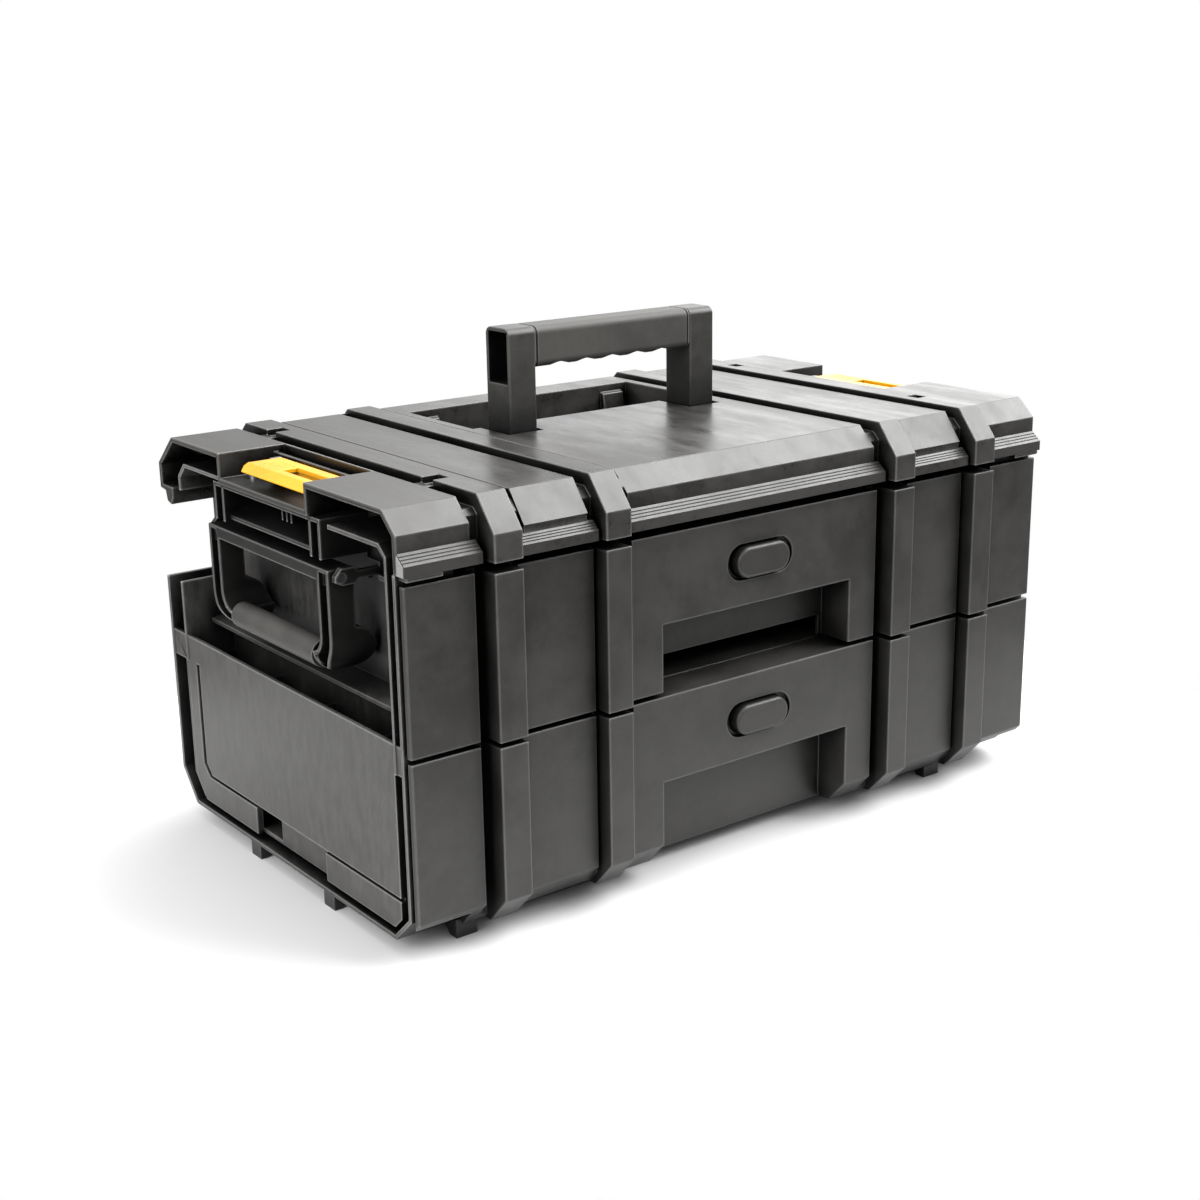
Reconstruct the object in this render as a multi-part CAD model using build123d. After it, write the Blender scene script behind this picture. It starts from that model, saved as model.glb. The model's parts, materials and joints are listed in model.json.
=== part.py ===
from build123d import *
import os

# Two-drawer tool chest. Millimetres, +X along the length, -Y to the front, +Z up.

# ---------------------------------------------------------------- overall size
HALF_LENGTH = 275.0  # end faces
REAR_Y = 168.0  # rear of the end frames
RIB_FRONT_Y = -168.0  # faces of the upright ribs
PANEL_FRONT_Y = RIB_FRONT_Y + 10.0  # faces of the drawer-front panels
END_FRONT_Y = RIB_FRONT_Y + 16.5  # front edges of the end frames
RIM_BOTTOM_Z = 10.0  # underside of the housing, the lugs reach down to zero
LID_BOTTOM_Z = 246.0
LID_TOP_Z = LID_BOTTOM_Z + 37.0
RIB_TOP_Z = LID_TOP_Z + 2.5

# ------------------------------------------------------------- walls and fits
SKIN = 3.0  # moulded wall
THIN_WALL = 2.5
OVERCUT = 1.0  # how far a cut runs past the face it starts from
RUNNING_FIT = 0.3  # room round a moulded piece that moves
SIDE_PLAY = 0.8  # room beside a piece that turns on a pin
PIN_FIT = 0.06  # radial room round a turning pin

# --------------------------------------------------------------- housing walls
END_DEPTH = 37.0  # from the end plane to the housing side wall
WALL_OUTER_X = HALF_LENGTH - END_DEPTH
WALL_INNER_X = WALL_OUTER_X - SKIN

# ----------------------------------------------- ribs and grooves of the front
INNER_RIB = (115.5, 135.0)
OUTER_RIB = (HALF_LENGTH - 78.5, HALF_LENGTH - 58.0)
GROOVE_WIDTH = 7.3
GROOVE_DEPTH = 12.0
INNER_GROOVE = (INNER_RIB[0] - GROOVE_WIDTH, INNER_RIB[0])
OUTER_GROOVE = (OUTER_RIB[1], OUTER_RIB[1] + GROOVE_WIDTH)
BAY_GROOVE_WIDTH = 2.4  # narrow groove on the other side of each rib
BAY_GROOVES = (
    (INNER_RIB[1], INNER_RIB[1] + BAY_GROOVE_WIDTH),
    (OUTER_RIB[0] - BAY_GROOVE_WIDTH, OUTER_RIB[0]),
)

# ------------------------------------------------------------------ end frames
END_FOOT_FRONT = (19.0, 18.0)  # bottom corner, along Y and up Z
END_FOOT_REAR = (20.0, 23.0)
FOOT_TRIM = 0.45  # how much of an inset its corner cuts follow
WALL_TOP_Z = LID_BOTTOM_Z + 16.0
REAR_WING_TOP_Z = 179.5
REAR_WING_Y = REAR_Y - 25.0
COLLAR_Z = (121.0, 140.0)
CHANNEL = 6.0  # open channel between the two front skins
INNER_SKIN_Y = END_FRONT_Y + SKIN + CHANNEL
SKIN_BEND = (8.0, 7.0)  # cut corner at the top of the second skin, along Y and down Z
SKIN_END_Y = -75.0
FACE_SETBACK = 1.0  # lower face behind the end plane
FACE_X = -HALF_LENGTH + FACE_SETBACK
FACE_GAP = (11.5, 4.5)  # open gap round the lower face, at its rear and below
FACE_STEP = (7.5, 2.0)  # set-back rear edge of the lower face, width and depth
FACE_CUT_FRONT = (8.5, 8.0)  # cut lower corners of the lower face, along Y and up Z
FACE_CUT_REAR = (13.5, 15.5)
APRON_Y = (END_FRONT_Y + SKIN + 9.5, 128.0)  # panel that hangs from the collar
APRON_BOTTOM_Z = 39.5
APRON_CORNER = 8.0
APRON_GAP = (4.5, 2.0)  # open line round the apron, at its rear and below
APRON_RIBS_Y = (-80.0, -5.0, 70.0)
CATCH_NOTCH_Y = (-45.0, 52.0)  # notch under the apron between the lugs
CATCH_PLATE_Y = (-47.0, 25.0)  # set-back plate in the notch
CATCH_SETBACK = 5.0
END_LUGS_Y = ((-55.0, -41.0), (48.0, 62.0))
END_LUG_THICKNESS = 7.0
LUG_TOE = 2.0  # cut toe of each lug
FINGER_SHELF_X = HALF_LENGTH - 19.0
FINGER_SHELF_Z = 150.0
FINGER_SHELF_RISE = 4.0
FINGER_SHELF_Y = (-118.0, REAR_WING_Y - SKIN)
LEDGE_Z = (222.0, 225.5)  # bar on the side wall in front of the side handle
LEDGE_DEPTH = 5.0

# ------------------------------------------------- floor, shelf and back panel
FLOOR_THICKNESS = 3.5
FLOOR_FRONT_Y = RIB_FRONT_Y + 30.0
FLOOR_FLANGE_TOP_Z = RIM_BOTTOM_Z + 24.0
FLOOR_FLANGE_Y = (-125.0, 130.0)
FLOOR_LUGS_X = (-WALL_INNER_X + 8.0, WALL_INNER_X - 39.0)
FLOOR_LUG_WIDTH = 16.0
FLOOR_LUG_DEPTH = 16.0
REAR_LUG_Y = REAR_Y - 26.0
BACK_FRONT_Y = REAR_Y - 8.0
BACK_REAR_Y = REAR_Y - 4.0
LOWER_FRONT_TOP_Z = 131.5
FRONT_SPLIT = 3.0  # joint between the two drawer fronts
SHELF_THICKNESS = 2.3
SHELF_Z = (LOWER_FRONT_TOP_Z - 0.2 - SHELF_THICKNESS, LOWER_FRONT_TOP_Z - 0.2)
SHELF_FRONT_Y = RIB_FRONT_Y + 42.0

# ---------------------------------------------------------- side carry handles
HARDWARE_Y = 12.0  # middle of each side handle
BAIL_HALF_WIDTH = 82.0
BAIL_ARM = 14.5
BAIL_X = (HALF_LENGTH - 19.0, HALF_LENGTH - 1.0)
BAIL_Z = (160.0, 231.5)
BAIL_TOP_BAR = 8.5
BAIL_CORNER = 27.0
BAIL_AXIS_X = HALF_LENGTH - 8.0
BAIL_AXIS_Z = BAIL_Z[1] - 4.5
BAIL_PIN_RADIUS = 2.5
BAIL_PIN_DEPTH = 8.0
BAIL_HEEL_RADIUS = 16.5  # rounded heel at the foot of each arm
BAIL_CHANNEL_WALL = 2.7  # walls of the channel that runs down each arm
BAIL_CHANNEL_DEPTH = 14.0
BAIL_CHANNEL_SHALLOW = 3.5  # its depth in front of the pin
SIDE_GRIP_X = HALF_LENGTH - 9.5
SIDE_GRIP_Z = BAIL_Z[0] + 11.0
SIDE_GRIP_RADIUS = 9.0
SIDE_CORE_RADIUS = 6.0
SIDE_GRIP_HALF = 56.0
EAR_THICKNESS = 4.5
EAR_OUTER = BAIL_HALF_WIDTH + SIDE_PLAY + EAR_THICKNESS
EAR_X = HALF_LENGTH - 3.5
EAR_Z = (BAIL_AXIS_Z - 5.0, BAIL_AXIS_Z + 6.0)
EAR_CORNER = 5.0
EAR_ROOT_X = HALF_LENGTH - 20.0  # each ear reaches back from here in a lower web
EAR_WEB = 3.0
BRACKET_X = HALF_LENGTH - 2.5
BRACKET_BOTTOM_Z = BAIL_AXIS_Z - 8.0
CHEEK_OUTER = 72.5
CHEEK_INNER = 58.3
CHEEK_WALL = 2.7
CHEEK_BOTTOM_Z = BAIL_AXIS_Z + 9.0
HOOD_REACH_X = HALF_LENGTH - 7.0  # sloping hood over the bail
HOOD_Z = (BAIL_AXIS_Z + 10.0, BAIL_AXIS_Z + 20.0)
HOOD_THICKNESS = 3.0
BRACKET_RIBS = (-6.0, 0.0, 6.0)
BRACKET_RIBS_Y = HARDWARE_Y - 10.0
BRACKET_RIB = 2.0
BRACKET_RIB_X = HALF_LENGTH - 13.0

# ------------------------------------------------------------- yellow latches
LATCH_POCKET_Y = (-47.0, 69.0)
LATCH_POCKET_X = HALF_LENGTH - 49.0  # inner end of the pocket
LATCH_FLOOR_Z = WALL_TOP_Z + 4.0
LATCH_Y = (-45.5, 45.0)
LATCH_TOP_Z = LATCH_FLOOR_Z + 13.6
LATCH_BOTTOM_Z = LATCH_TOP_Z - 5.0
LATCH_AXIS_X = HALF_LENGTH - 31.0
LATCH_AXIS_Z = LATCH_TOP_Z - 3.1
LATCH_PIN_RADIUS = 1.5
LATCH_BARREL = 4.0  # half width of the barrel round the pin
LATCH_AXIS_DROP = 3.0  # from the pin to the top or bottom of the barrel
LATCH_FACE_X = HALF_LENGTH - 2.5
LATCH_WALL = 3.0
LATCH_EDGE = 1.0  # height of the flap's outer edge
LATCH_BEVEL = 7.0
LATCH_ROUND = 1.5
LATCH_WINDOW_Y = (-36.0, 8.0)
LATCH_WINDOW_X = (HALF_LENGTH - 26.0, HALF_LENGTH - 15.0)
LATCH_TIP = 4.0
LATCH_EAR = 3.5
LATCH_PIN_Y = (LATCH_POCKET_Y[0] - 2.5, LATCH_Y[1] + SIDE_PLAY + LATCH_EAR)
LATCH_GRIP_LINES = 5
LATCH_GRIP_PITCH = 5.0
LATCH_GRIP_LINE = (1.4, 0.6)  # width and depth
LATCH_RIDGE_X = (LATCH_POCKET_X + 5.0, LATCH_POCKET_X + 8.0)
LATCH_RIDGE_TOP_Z = LATCH_FLOOR_Z + 12.5

# ------------------------------------------------------------------ top handle
HANDLE_AXIS_Y = 10.0
HANDLE_TOP_Z = 354.0
HANDLE_AXIS_Z = LID_TOP_Z - 15.0
HANDLE_POST_X = (69.0, 91.0)
HANDLE_POST_DEPTH = 28.0
HANDLE_POST_ROUND = (4.0, 1.5)  # the cut corners at the top of a post
HANDLE_PIN_RADIUS = 4.0
POST_HOLLOW = 38.0  # the hollow in each post reaches this far down from its top
POST_WEB = 6.0
GRIP_HEIGHT = 28.5
GRIP_DEPTH = 27.0
GRIP_ROUNDING = 5.5
GRIP_CORE = 14.0
GRIP_SEAM = (1.0, 2.5)  # the line near each end of the grip
FINGER_SCALLOPS = 5
SCALLOP_RADIUS = 16.0
SCALLOP_DEPTH = 2.4
SCALLOP_MARGIN = 12.0
RECESS_HALF_X = HANDLE_POST_X[1] + 10.0
RECESS_Y = (28.0, 114.0)
RECESS_FLOOR_Z = HANDLE_AXIS_Z - 16.0
POST_BAY_X = (HANDLE_POST_X[0] - 3.0, HANDLE_POST_X[1] + 4.0)
POST_BAY_Y = HANDLE_AXIS_Y - 17.0
HANDLE_STOP_X = (76.0, 96.0)
HANDLE_STOP_DEPTH = (3.0, 7.0)
HANDLE_STOP_DROP = 6.0

# --------------------------------------------------------------------- drawers
FRONT_HALF_LENGTH = HALF_LENGTH - 1.5
FRONT_BACK_Y = RIB_FRONT_Y + 28.0
FRONT_GAP = 2.0  # between the end frames and the ends of the fronts
FRONT_INNER_HALF = WALL_INNER_X - 2.0  # the thick middle of a front, inside the housing
LOWER_FRONT_Z = (RIM_BOTTOM_Z + 1.0, LOWER_FRONT_TOP_Z)
UPPER_FRONT_Z = (LOWER_FRONT_TOP_Z + FRONT_SPLIT, LID_BOTTOM_Z - 6.0)
PANEL_FOOT = (16.0, 17.0)  # bottom slope of the lower front, along Y and up Z
RIB_FOOT = (18.0, 19.0)
RIB_LIFT = 1.0  # the ribs of the lower front end this much above its underside
GRIP_OPENING_HALF = 83.0
GRIP_BACK_Y = FRONT_BACK_Y + 9.0
GRIP_OPENING_HEIGHT = 45.5
LOWER_OPENING_TOP_Z = 72.0
PULL_EDGE_Z = UPPER_FRONT_Z[0] + 14.5
BUTTON_RISE_UPPER = 210.0
BUTTON_RISE_LOWER = 100.5
SLIDE_SPACE = 13.0  # between the housing wall and a tray
TRAY_HALF = WALL_INNER_X - SLIDE_SPACE
TRAY_WALL = 3.0
TRAY_Y = (-96.0, 130.0)
LOWER_TRAY_Z = (22.0, 118.0)
UPPER_TRAY_Z = (139.0, 228.0)
TRAY_FLANGE = 20.0

# ---------------------------------------------------------------------- slides
SLIDE_HALF_HEIGHT = 17.5
SLIDE_METAL = 1.4
SLIDE_PLAY = 0.3
OUTER_FLANGE = 8.5
MIDDLE_FLANGE = 10.0
INNER_FLANGE = 8.0
OUTER_SLIDE_Y = (-120.0, 150.0)
INNER_SLIDE_Y = (-126.0, TRAY_Y[1])
LOWER_SLIDE_Z = 72.0
UPPER_SLIDE_Z = 186.0

# ------------------------------------------------------------- drawer releases
BUTTON_SIZE = (46.0, 21.0)
BUTTON_WELL = (56.5, 24.0)
BUTTON_WELL_DEPTH = 4.0
BUTTON_FRONT_Y = PANEL_FRONT_Y - 5.0
BUTTON_ROUND = 2.5
BUTTON_TRAVEL = 4.0
BUTTON_FLANGE = 3.0
BUTTON_FLANGE_DEPTH = 2.5
ROD_RADIUS = 3.0
ROD_NOSE = (1.5, 3.0)  # radius and length of the thin end of the push rod
COVER_Y = (FRONT_BACK_Y + 16.0, FRONT_BACK_Y + 19.0)
COVER_HALF = 36.0
COVER_RISE = 14.0  # half height of the cover
ROD_END_Y = COVER_Y[1] + 10.8
LEVER_AXIS_Y = COVER_Y[1] + 15.0
LEVER_RISE = 22.0  # lever pin above the middle of the button
LEVER_HALF_WIDTH = 8.0
LEVER_THICKNESS = 4.0
LEVER_FOOT = 4.0  # how far the foot reaches below the push rod
LEVER_EAR_TOP = 3.5
LEVER_EAR_OUTER = LEVER_HALF_WIDTH + SIDE_PLAY + SKIN
HOOK_REACH = 16.0
HOOK_RISE = 5.5
STRIKE_CLEARANCE = 0.4  # the hook passes under its strike
STRIKE_GAP = 1.1
STRIKE_HALF = 12.0
LEVER_PIN_RADIUS = 1.5
SPRING_RADIUS = 5.2
SPRING_WIRE = 1.0
SPRING_TURNS = 3

# ------------------------------------------------------------------------- lid
LID_PANEL_Y = PANEL_FRONT_Y + 4.0
LID_REAR_Y = REAR_Y - 2.0
LID_LIP_Y = PANEL_FRONT_Y - 3.0
LID_LIP_Z = (LID_BOTTOM_Z + 6.6, LID_BOTTOM_Z + 12.5)
PANEL_CHAMFER = (14.0, 13.5)
BAY_CHAMFER = (14.7, 19.8)
RIB_CHAMFER = (17.5, 22.0)
REAR_CHAMFER = (24.0, 21.0)
LID_SKIN = 3.5
LID_WEB = 4.0
LID_HOLLOW_Y = (-150.0, LID_REAR_Y - 4.0)
GROOVE_FLOORS = (5.0, 6.5)  # depth of the inner and outer grooves along the top
BAY_END_GAP = 7.0  # gap between a bay's slope and the ribs beside it
BAY_GAP_DEPTH = 6.0
BAY_HOLLOW_DROP = 5.0  # the hollow under a bay stays this much lower
BRIDGES_Y = ((-104.0, -90.0), (98.0, 112.0))  # where the outer grooves are bridged
BRIDGE_DROP = 1.0
BRIDGE_POCKET = (12.0, 5.0)  # width along X and depth of the pocket beside a bridge
BRIDGE_MARGIN = 1.0  # the pocket is this much shorter at each end
LIP_TAB_X = (HALF_LENGTH - 27.0, HALF_LENGTH - 2.0)
LIP_TAB_DROP = 3.0
REAR_HOOK = (20.0, 12.0)  # depth along Y and drop of the hooks at the rear ends
REAR_HOOK_X = WALL_OUTER_X + 3.0

# ---------------------------------------------------------------------- screws
SCREW_RADIUS = 1.8
SCREW_HEAD_RADIUS = 3.6
SCREW_HEAD = 2.0
BASE_SCREWS_Y = (-105.0, -35.0, 35.0, 105.0)
BASE_SCREW_Z = RIM_BOTTOM_Z + 15.0
LID_SCREWS_Y = (-32.0, 56.0)
LID_SCREW_X = HALF_LENGTH - 19.0
FRONT_SCREW_X = TRAY_HALF - 12.0
FRONT_SCREW_DEPTH = 6.0
FRONT_SCREW_MARGIN = 30.0  # from the top and bottom of a drawer front


def block(x, y, z):
    """A box between pairs of limits along X, Y and Z."""
    size = Box(abs(x[1] - x[0]), abs(y[1] - y[0]), abs(z[1] - z[0]))
    return Pos(sum(x) / 2, sum(y) / 2, sum(z) / 2) * size


def along_x(points, x):
    """A (y, z) outline carried along X between two limits."""
    face = Plane.YZ * make_face(Polyline(*points, close=True))
    return extrude(Pos(min(x), 0, 0) * face, amount=abs(x[1] - x[0]), dir=(1, 0, 0))


def along_y(points, y):
    """An (x, z) outline carried along Y between two limits."""
    face = Plane.XZ * make_face(Polyline(*points, close=True))
    return extrude(Pos(0, min(y), 0) * face, amount=abs(y[1] - y[0]), dir=(0, 1, 0))


def rod_x(x, y, z, radius):
    """A round rod along X between two limits."""
    centre = Pos(sum(x) / 2, y, z)
    return centre * Rot(0, 90, 0) * Cylinder(radius, abs(x[1] - x[0]))


def rod_y(x, y, z, radius):
    """A round rod along Y between two limits."""
    centre = Pos(x, sum(y) / 2, z)
    return centre * Rot(90, 0, 0) * Cylinder(radius, abs(y[1] - y[0]))


def rod_z(x, y, z, radius):
    """A round rod along Z between two limits."""
    return Pos(x, y, sum(z) / 2) * Cylinder(radius, abs(z[1] - z[0]))


def pill_y(size, y, z):
    """A slot-shaped plug along Y, round at both ends of its width."""
    face = Plane.XZ * SlotOverall(size[0], size[1])
    return extrude(Pos(0, min(y), z) * face, amount=abs(y[1] - y[0]), dir=(0, 1, 0))


def other_side(piece):
    """The same piece on the other end of the chest."""
    return mirror(piece, about=Plane.YZ)


def both_sides(x, y, z):
    """A box and its mirror image, for a pair of limits in +X."""
    return block(x, y, z) + block((-x[1], -x[0]), y, z)


def end_outline(inset, top_z):
    """The (y, z) outline of an end frame, moved inwards by an inset."""
    front = END_FRONT_Y + inset
    rear = REAR_Y - inset
    bottom = RIM_BOTTOM_Z + inset
    trim = inset * FOOT_TRIM
    return (
        (front, top_z),
        (front, RIM_BOTTOM_Z + END_FOOT_FRONT[1] + trim),
        (END_FRONT_Y + END_FOOT_FRONT[0] + trim, bottom),
        (REAR_Y - END_FOOT_REAR[0] - trim, bottom),
        (rear, RIM_BOTTOM_Z + END_FOOT_REAR[1] + trim),
        (rear, top_z),
    )


def grown(limits, amount):
    """Limits moved apart by an amount at each end."""
    return (limits[0] - amount, limits[1] + amount)


def face_outline(inset, rear_inset):
    """The (y, z) outline of the lower face of an end frame, inside the gap round it."""
    front = APRON_Y[0] + inset
    rear = REAR_Y - SKIN - FACE_GAP[0] - rear_inset
    bottom = RIM_BOTTOM_Z + SKIN + FACE_GAP[1] + inset
    return (
        (front, COLLAR_Z[0]),
        (front, bottom + FACE_CUT_FRONT[1]),
        (front + FACE_CUT_FRONT[0], bottom),
        (rear - FACE_CUT_REAR[0], bottom),
        (rear, bottom + FACE_CUT_REAR[1]),
        (rear, COLLAR_Z[0]),
    )


def apron_outline(rear_gap, bottom_gap, front_y):
    """The (y, z) outline of the apron, or of the opening that it hangs in."""
    rear = APRON_Y[1] + rear_gap
    bottom = APRON_BOTTOM_Z - bottom_gap
    return (
        (front_y, COLLAR_Z[0]),
        (front_y, bottom),
        (rear - APRON_CORNER, bottom),
        (rear, bottom + APRON_CORNER),
        (rear, COLLAR_Z[0]),
    )


def lower_face():
    """The lower face of the left end frame: a stepped strip round an apron, on box walls."""
    back_x = FACE_X + SKIN
    step_x = FACE_X + FACE_STEP[1]
    face = along_x(face_outline(0, FACE_STEP[0]), (FACE_X, step_x))
    face += along_x(face_outline(0, 0), (step_x, step_x + SKIN))
    opening = apron_outline(APRON_GAP[0], APRON_GAP[1], APRON_Y[0] - OVERCUT)
    face -= along_x(opening, (FACE_X - OVERCUT, step_x + SKIN + OVERCUT))
    notch_z = (RIM_BOTTOM_Z + SKIN, APRON_BOTTOM_Z - APRON_GAP[1] / 2)
    box = along_x(face_outline(0, 0), (back_x, -WALL_OUTER_X))
    box -= along_x(face_outline(SKIN, SKIN), (back_x - OVERCUT, -WALL_OUTER_X + OVERCUT))
    face += box
    face -= block((FACE_X - OVERCUT, step_x + SKIN), CATCH_NOTCH_Y, notch_z)
    plate_x = (FACE_X + CATCH_SETBACK, FACE_X + CATCH_SETBACK + SKIN)
    plate_z = (RIM_BOTTOM_Z + SKIN + FACE_GAP[1], APRON_BOTTOM_Z - APRON_GAP[1] - FACE_STEP[1])
    face += block(plate_x, CATCH_PLATE_Y, plate_z)
    face += along_x(apron_outline(0, 0, APRON_Y[0]), (FACE_X, back_x))
    for y in APRON_RIBS_Y:
        face += block((back_x, -WALL_OUTER_X), (y, y + SKIN), (APRON_BOTTOM_Z, COLLAR_Z[0]))
    return face


def end_frame():
    """The left end frame: rim, double front skin, rear wing, collar, lower face and wall."""
    outer = (-HALF_LENGTH, -WALL_OUTER_X)
    past = grown(outer, OVERCUT)
    frame = along_x(end_outline(0, LID_BOTTOM_Z), outer)
    frame -= along_x(end_outline(SKIN, LID_BOTTOM_Z + OVERCUT), past)
    frame -= block(past, (REAR_WING_Y, REAR_Y + OVERCUT), (REAR_WING_TOP_Z, LID_TOP_Z))
    wall_x = (-WALL_OUTER_X, -WALL_INNER_X)
    wall = along_x(end_outline(0, LID_BOTTOM_Z), wall_x)
    wall += along_x(end_outline(SKIN, WALL_TOP_Z), wall_x)
    wall -= block(grown(wall_x, SKIN), (LID_HOLLOW_Y[1], REAR_Y), (REAR_WING_TOP_Z, LID_TOP_Z))
    bend_y, bend_z = SKIN_BEND
    second_skin = (
        (INNER_SKIN_Y, COLLAR_Z[0]),
        (INNER_SKIN_Y, WALL_TOP_Z - bend_z),
        (INNER_SKIN_Y + bend_y, WALL_TOP_Z),
        (SKIN_END_Y, WALL_TOP_Z),
        (SKIN_END_Y, WALL_TOP_Z - SKIN),
        (INNER_SKIN_Y + bend_y + THIN_WALL / 2, WALL_TOP_Z - SKIN),
        (INNER_SKIN_Y + THIN_WALL, WALL_TOP_Z - bend_z - THIN_WALL / 2),
        (INNER_SKIN_Y + THIN_WALL, COLLAR_Z[0]),
    )
    frame += wall + along_x(second_skin, outer) + lower_face()
    wing_z = (COLLAR_Z[0], REAR_WING_TOP_Z)
    frame += block(outer, (REAR_WING_Y, REAR_WING_Y + THIN_WALL), wing_z)
    frame += block((FACE_X, FACE_X + SKIN), (END_FRONT_Y + SKIN, REAR_Y - SKIN), COLLAR_Z)
    shelf = (
        (-WALL_OUTER_X, FINGER_SHELF_Z + FINGER_SHELF_RISE),
        (-FINGER_SHELF_X, FINGER_SHELF_Z),
        (-FINGER_SHELF_X, FINGER_SHELF_Z - SKIN),
        (-WALL_OUTER_X, FINGER_SHELF_Z - SKIN),
    )
    frame += along_y(shelf, FINGER_SHELF_Y)
    ledge_y = (INNER_SKIN_Y, HARDWARE_Y - EAR_OUTER - THIN_WALL)
    frame += block((-WALL_OUTER_X - LEDGE_DEPTH, -WALL_OUTER_X), ledge_y, LEDGE_Z)
    lug = (
        (-HALF_LENGTH, RIM_BOTTOM_Z + SKIN),
        (-HALF_LENGTH, 0),
        (-HALF_LENGTH + END_LUG_THICKNESS - LUG_TOE, 0),
        (-HALF_LENGTH + END_LUG_THICKNESS, LUG_TOE),
        (-HALF_LENGTH + END_LUG_THICKNESS, RIM_BOTTOM_Z + SKIN),
    )
    for lug_y in END_LUGS_Y:
        frame += along_y(lug, lug_y)
    for y in BASE_SCREWS_Y:
        frame -= rod_x(grown(wall_x, OVERCUT), y, BASE_SCREW_Z, SCREW_RADIUS)
    return frame


def handle_bracket():
    """The bracket over the left side handle, with an ear beside each arm."""
    middle = (HARDWARE_Y, HARDWARE_Y)
    back_x = (-WALL_OUTER_X - THIN_WALL, -WALL_OUTER_X)
    front_x = -BRACKET_X
    whole = grown(middle, CHEEK_OUTER)
    bracket = block(back_x, whole, (BRACKET_BOTTOM_Z, WALL_TOP_Z))
    bracket += block(back_x, grown(middle, EAR_OUTER), EAR_Z)
    bracket += block((front_x, back_x[0]), whole, (WALL_TOP_Z - SKIN, WALL_TOP_Z))
    cheek_z = (CHEEK_BOTTOM_Z, WALL_TOP_Z)
    low, high = EAR_Z
    ear = (
        (-WALL_OUTER_X, low + EAR_WEB),
        (-EAR_ROOT_X, low + EAR_WEB),
        (-EAR_ROOT_X - EAR_WEB, low),
        (-BAIL_AXIS_X, low),
        (-EAR_X, low + EAR_CORNER / 2),
        (-EAR_X, high - EAR_CORNER),
        (-BAIL_AXIS_X, high),
        (-EAR_ROOT_X - EAR_WEB, high),
        (-EAR_ROOT_X, high - EAR_WEB),
        (-WALL_OUTER_X, high - EAR_WEB),
    )
    for side in (-1, 1):
        for reach in (CHEEK_OUTER - CHEEK_WALL, CHEEK_INNER):
            y = HARDWARE_Y + side * (reach + CHEEK_WALL / 2)
            cheek_y = grown((y, y), CHEEK_WALL / 2)
            bracket += block((front_x, back_x[0]), cheek_y, cheek_z)
        y = HARDWARE_Y + side * (EAR_OUTER - EAR_THICKNESS / 2)
        ear_y = grown((y, y), EAR_THICKNESS / 2)
        bracket += along_y(ear, ear_y)
        bracket -= rod_y(-BAIL_AXIS_X, grown(ear_y, OVERCUT), BAIL_AXIS_Z, BAIL_PIN_RADIUS)
    hood = (
        (back_x[0], HOOD_Z[1] + HOOD_THICKNESS),
        (-HOOD_REACH_X, HOOD_Z[0] + HOOD_THICKNESS),
        (-HOOD_REACH_X, HOOD_Z[0]),
        (back_x[0], HOOD_Z[1]),
    )
    bracket += along_y(hood, grown(middle, CHEEK_INNER))
    for step in BRACKET_RIBS:
        y = BRACKET_RIBS_Y + step
        rib_z = (HOOD_Z[1], WALL_TOP_Z)
        bracket += block((-BRACKET_RIB_X, back_x[0]), grown((y, y), BRACKET_RIB / 2), rib_z)
    plate_z = grown((WALL_TOP_Z - SKIN, WALL_TOP_Z), OVERCUT)
    for y in LID_SCREWS_Y:
        bracket -= rod_z(-LID_SCREW_X, y, plate_z, SCREW_RADIUS)
    return bracket


def bail_outline(half, bottom, top, corner):
    """A (y, z) face with its two lower corners rounded."""
    corners = ((-half, top), (-half, bottom), (half, bottom), (half, top))
    face = make_face(Polyline(*corners, close=True))
    return fillet(face.vertices().sort_by(Axis.Y)[:2], corner)


def arm_section(y):
    """The arms as seen along Y: a straight plate with a round heel at its foot."""
    heel_x = -BAIL_X[1] + BAIL_HEEL_RADIUS
    heel_z = BAIL_Z[0] + BAIL_HEEL_RADIUS
    plate = block((-BAIL_X[1], -BAIL_X[0]), y, (heel_z, BAIL_Z[1]))
    return plate + rod_y(heel_x, y, heel_z, BAIL_HEEL_RADIUS)


def arm_channels(depth, top_z):
    """The channels down both arms to the grip, below a height."""
    wall = BAIL_CHANNEL_WALL
    low = BAIL_Z[0]
    outer = bail_outline(BAIL_HALF_WIDTH - wall, low + wall, top_z, BAIL_CORNER - wall)
    inner = bail_outline(
        BAIL_HALF_WIDTH - BAIL_ARM + wall,
        low + BAIL_ARM - wall,
        top_z + OVERCUT,
        BAIL_CORNER - BAIL_ARM + wall,
    )
    place = Pos(-BAIL_X[1] - OVERCUT, HARDWARE_Y, 0) * (Plane.YZ * (outer - inner))
    cut = extrude(place, amount=depth + OVERCUT, dir=(1, 0, 0))
    middle = grown((HARDWARE_Y, HARDWARE_Y), SIDE_GRIP_HALF + THIN_WALL / 2)
    all_x = grown((-BAIL_X[1], -BAIL_X[1] + depth), 2 * OVERCUT)
    return cut - block(all_x, middle, (low - OVERCUT, top_z + OVERCUT))


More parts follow.
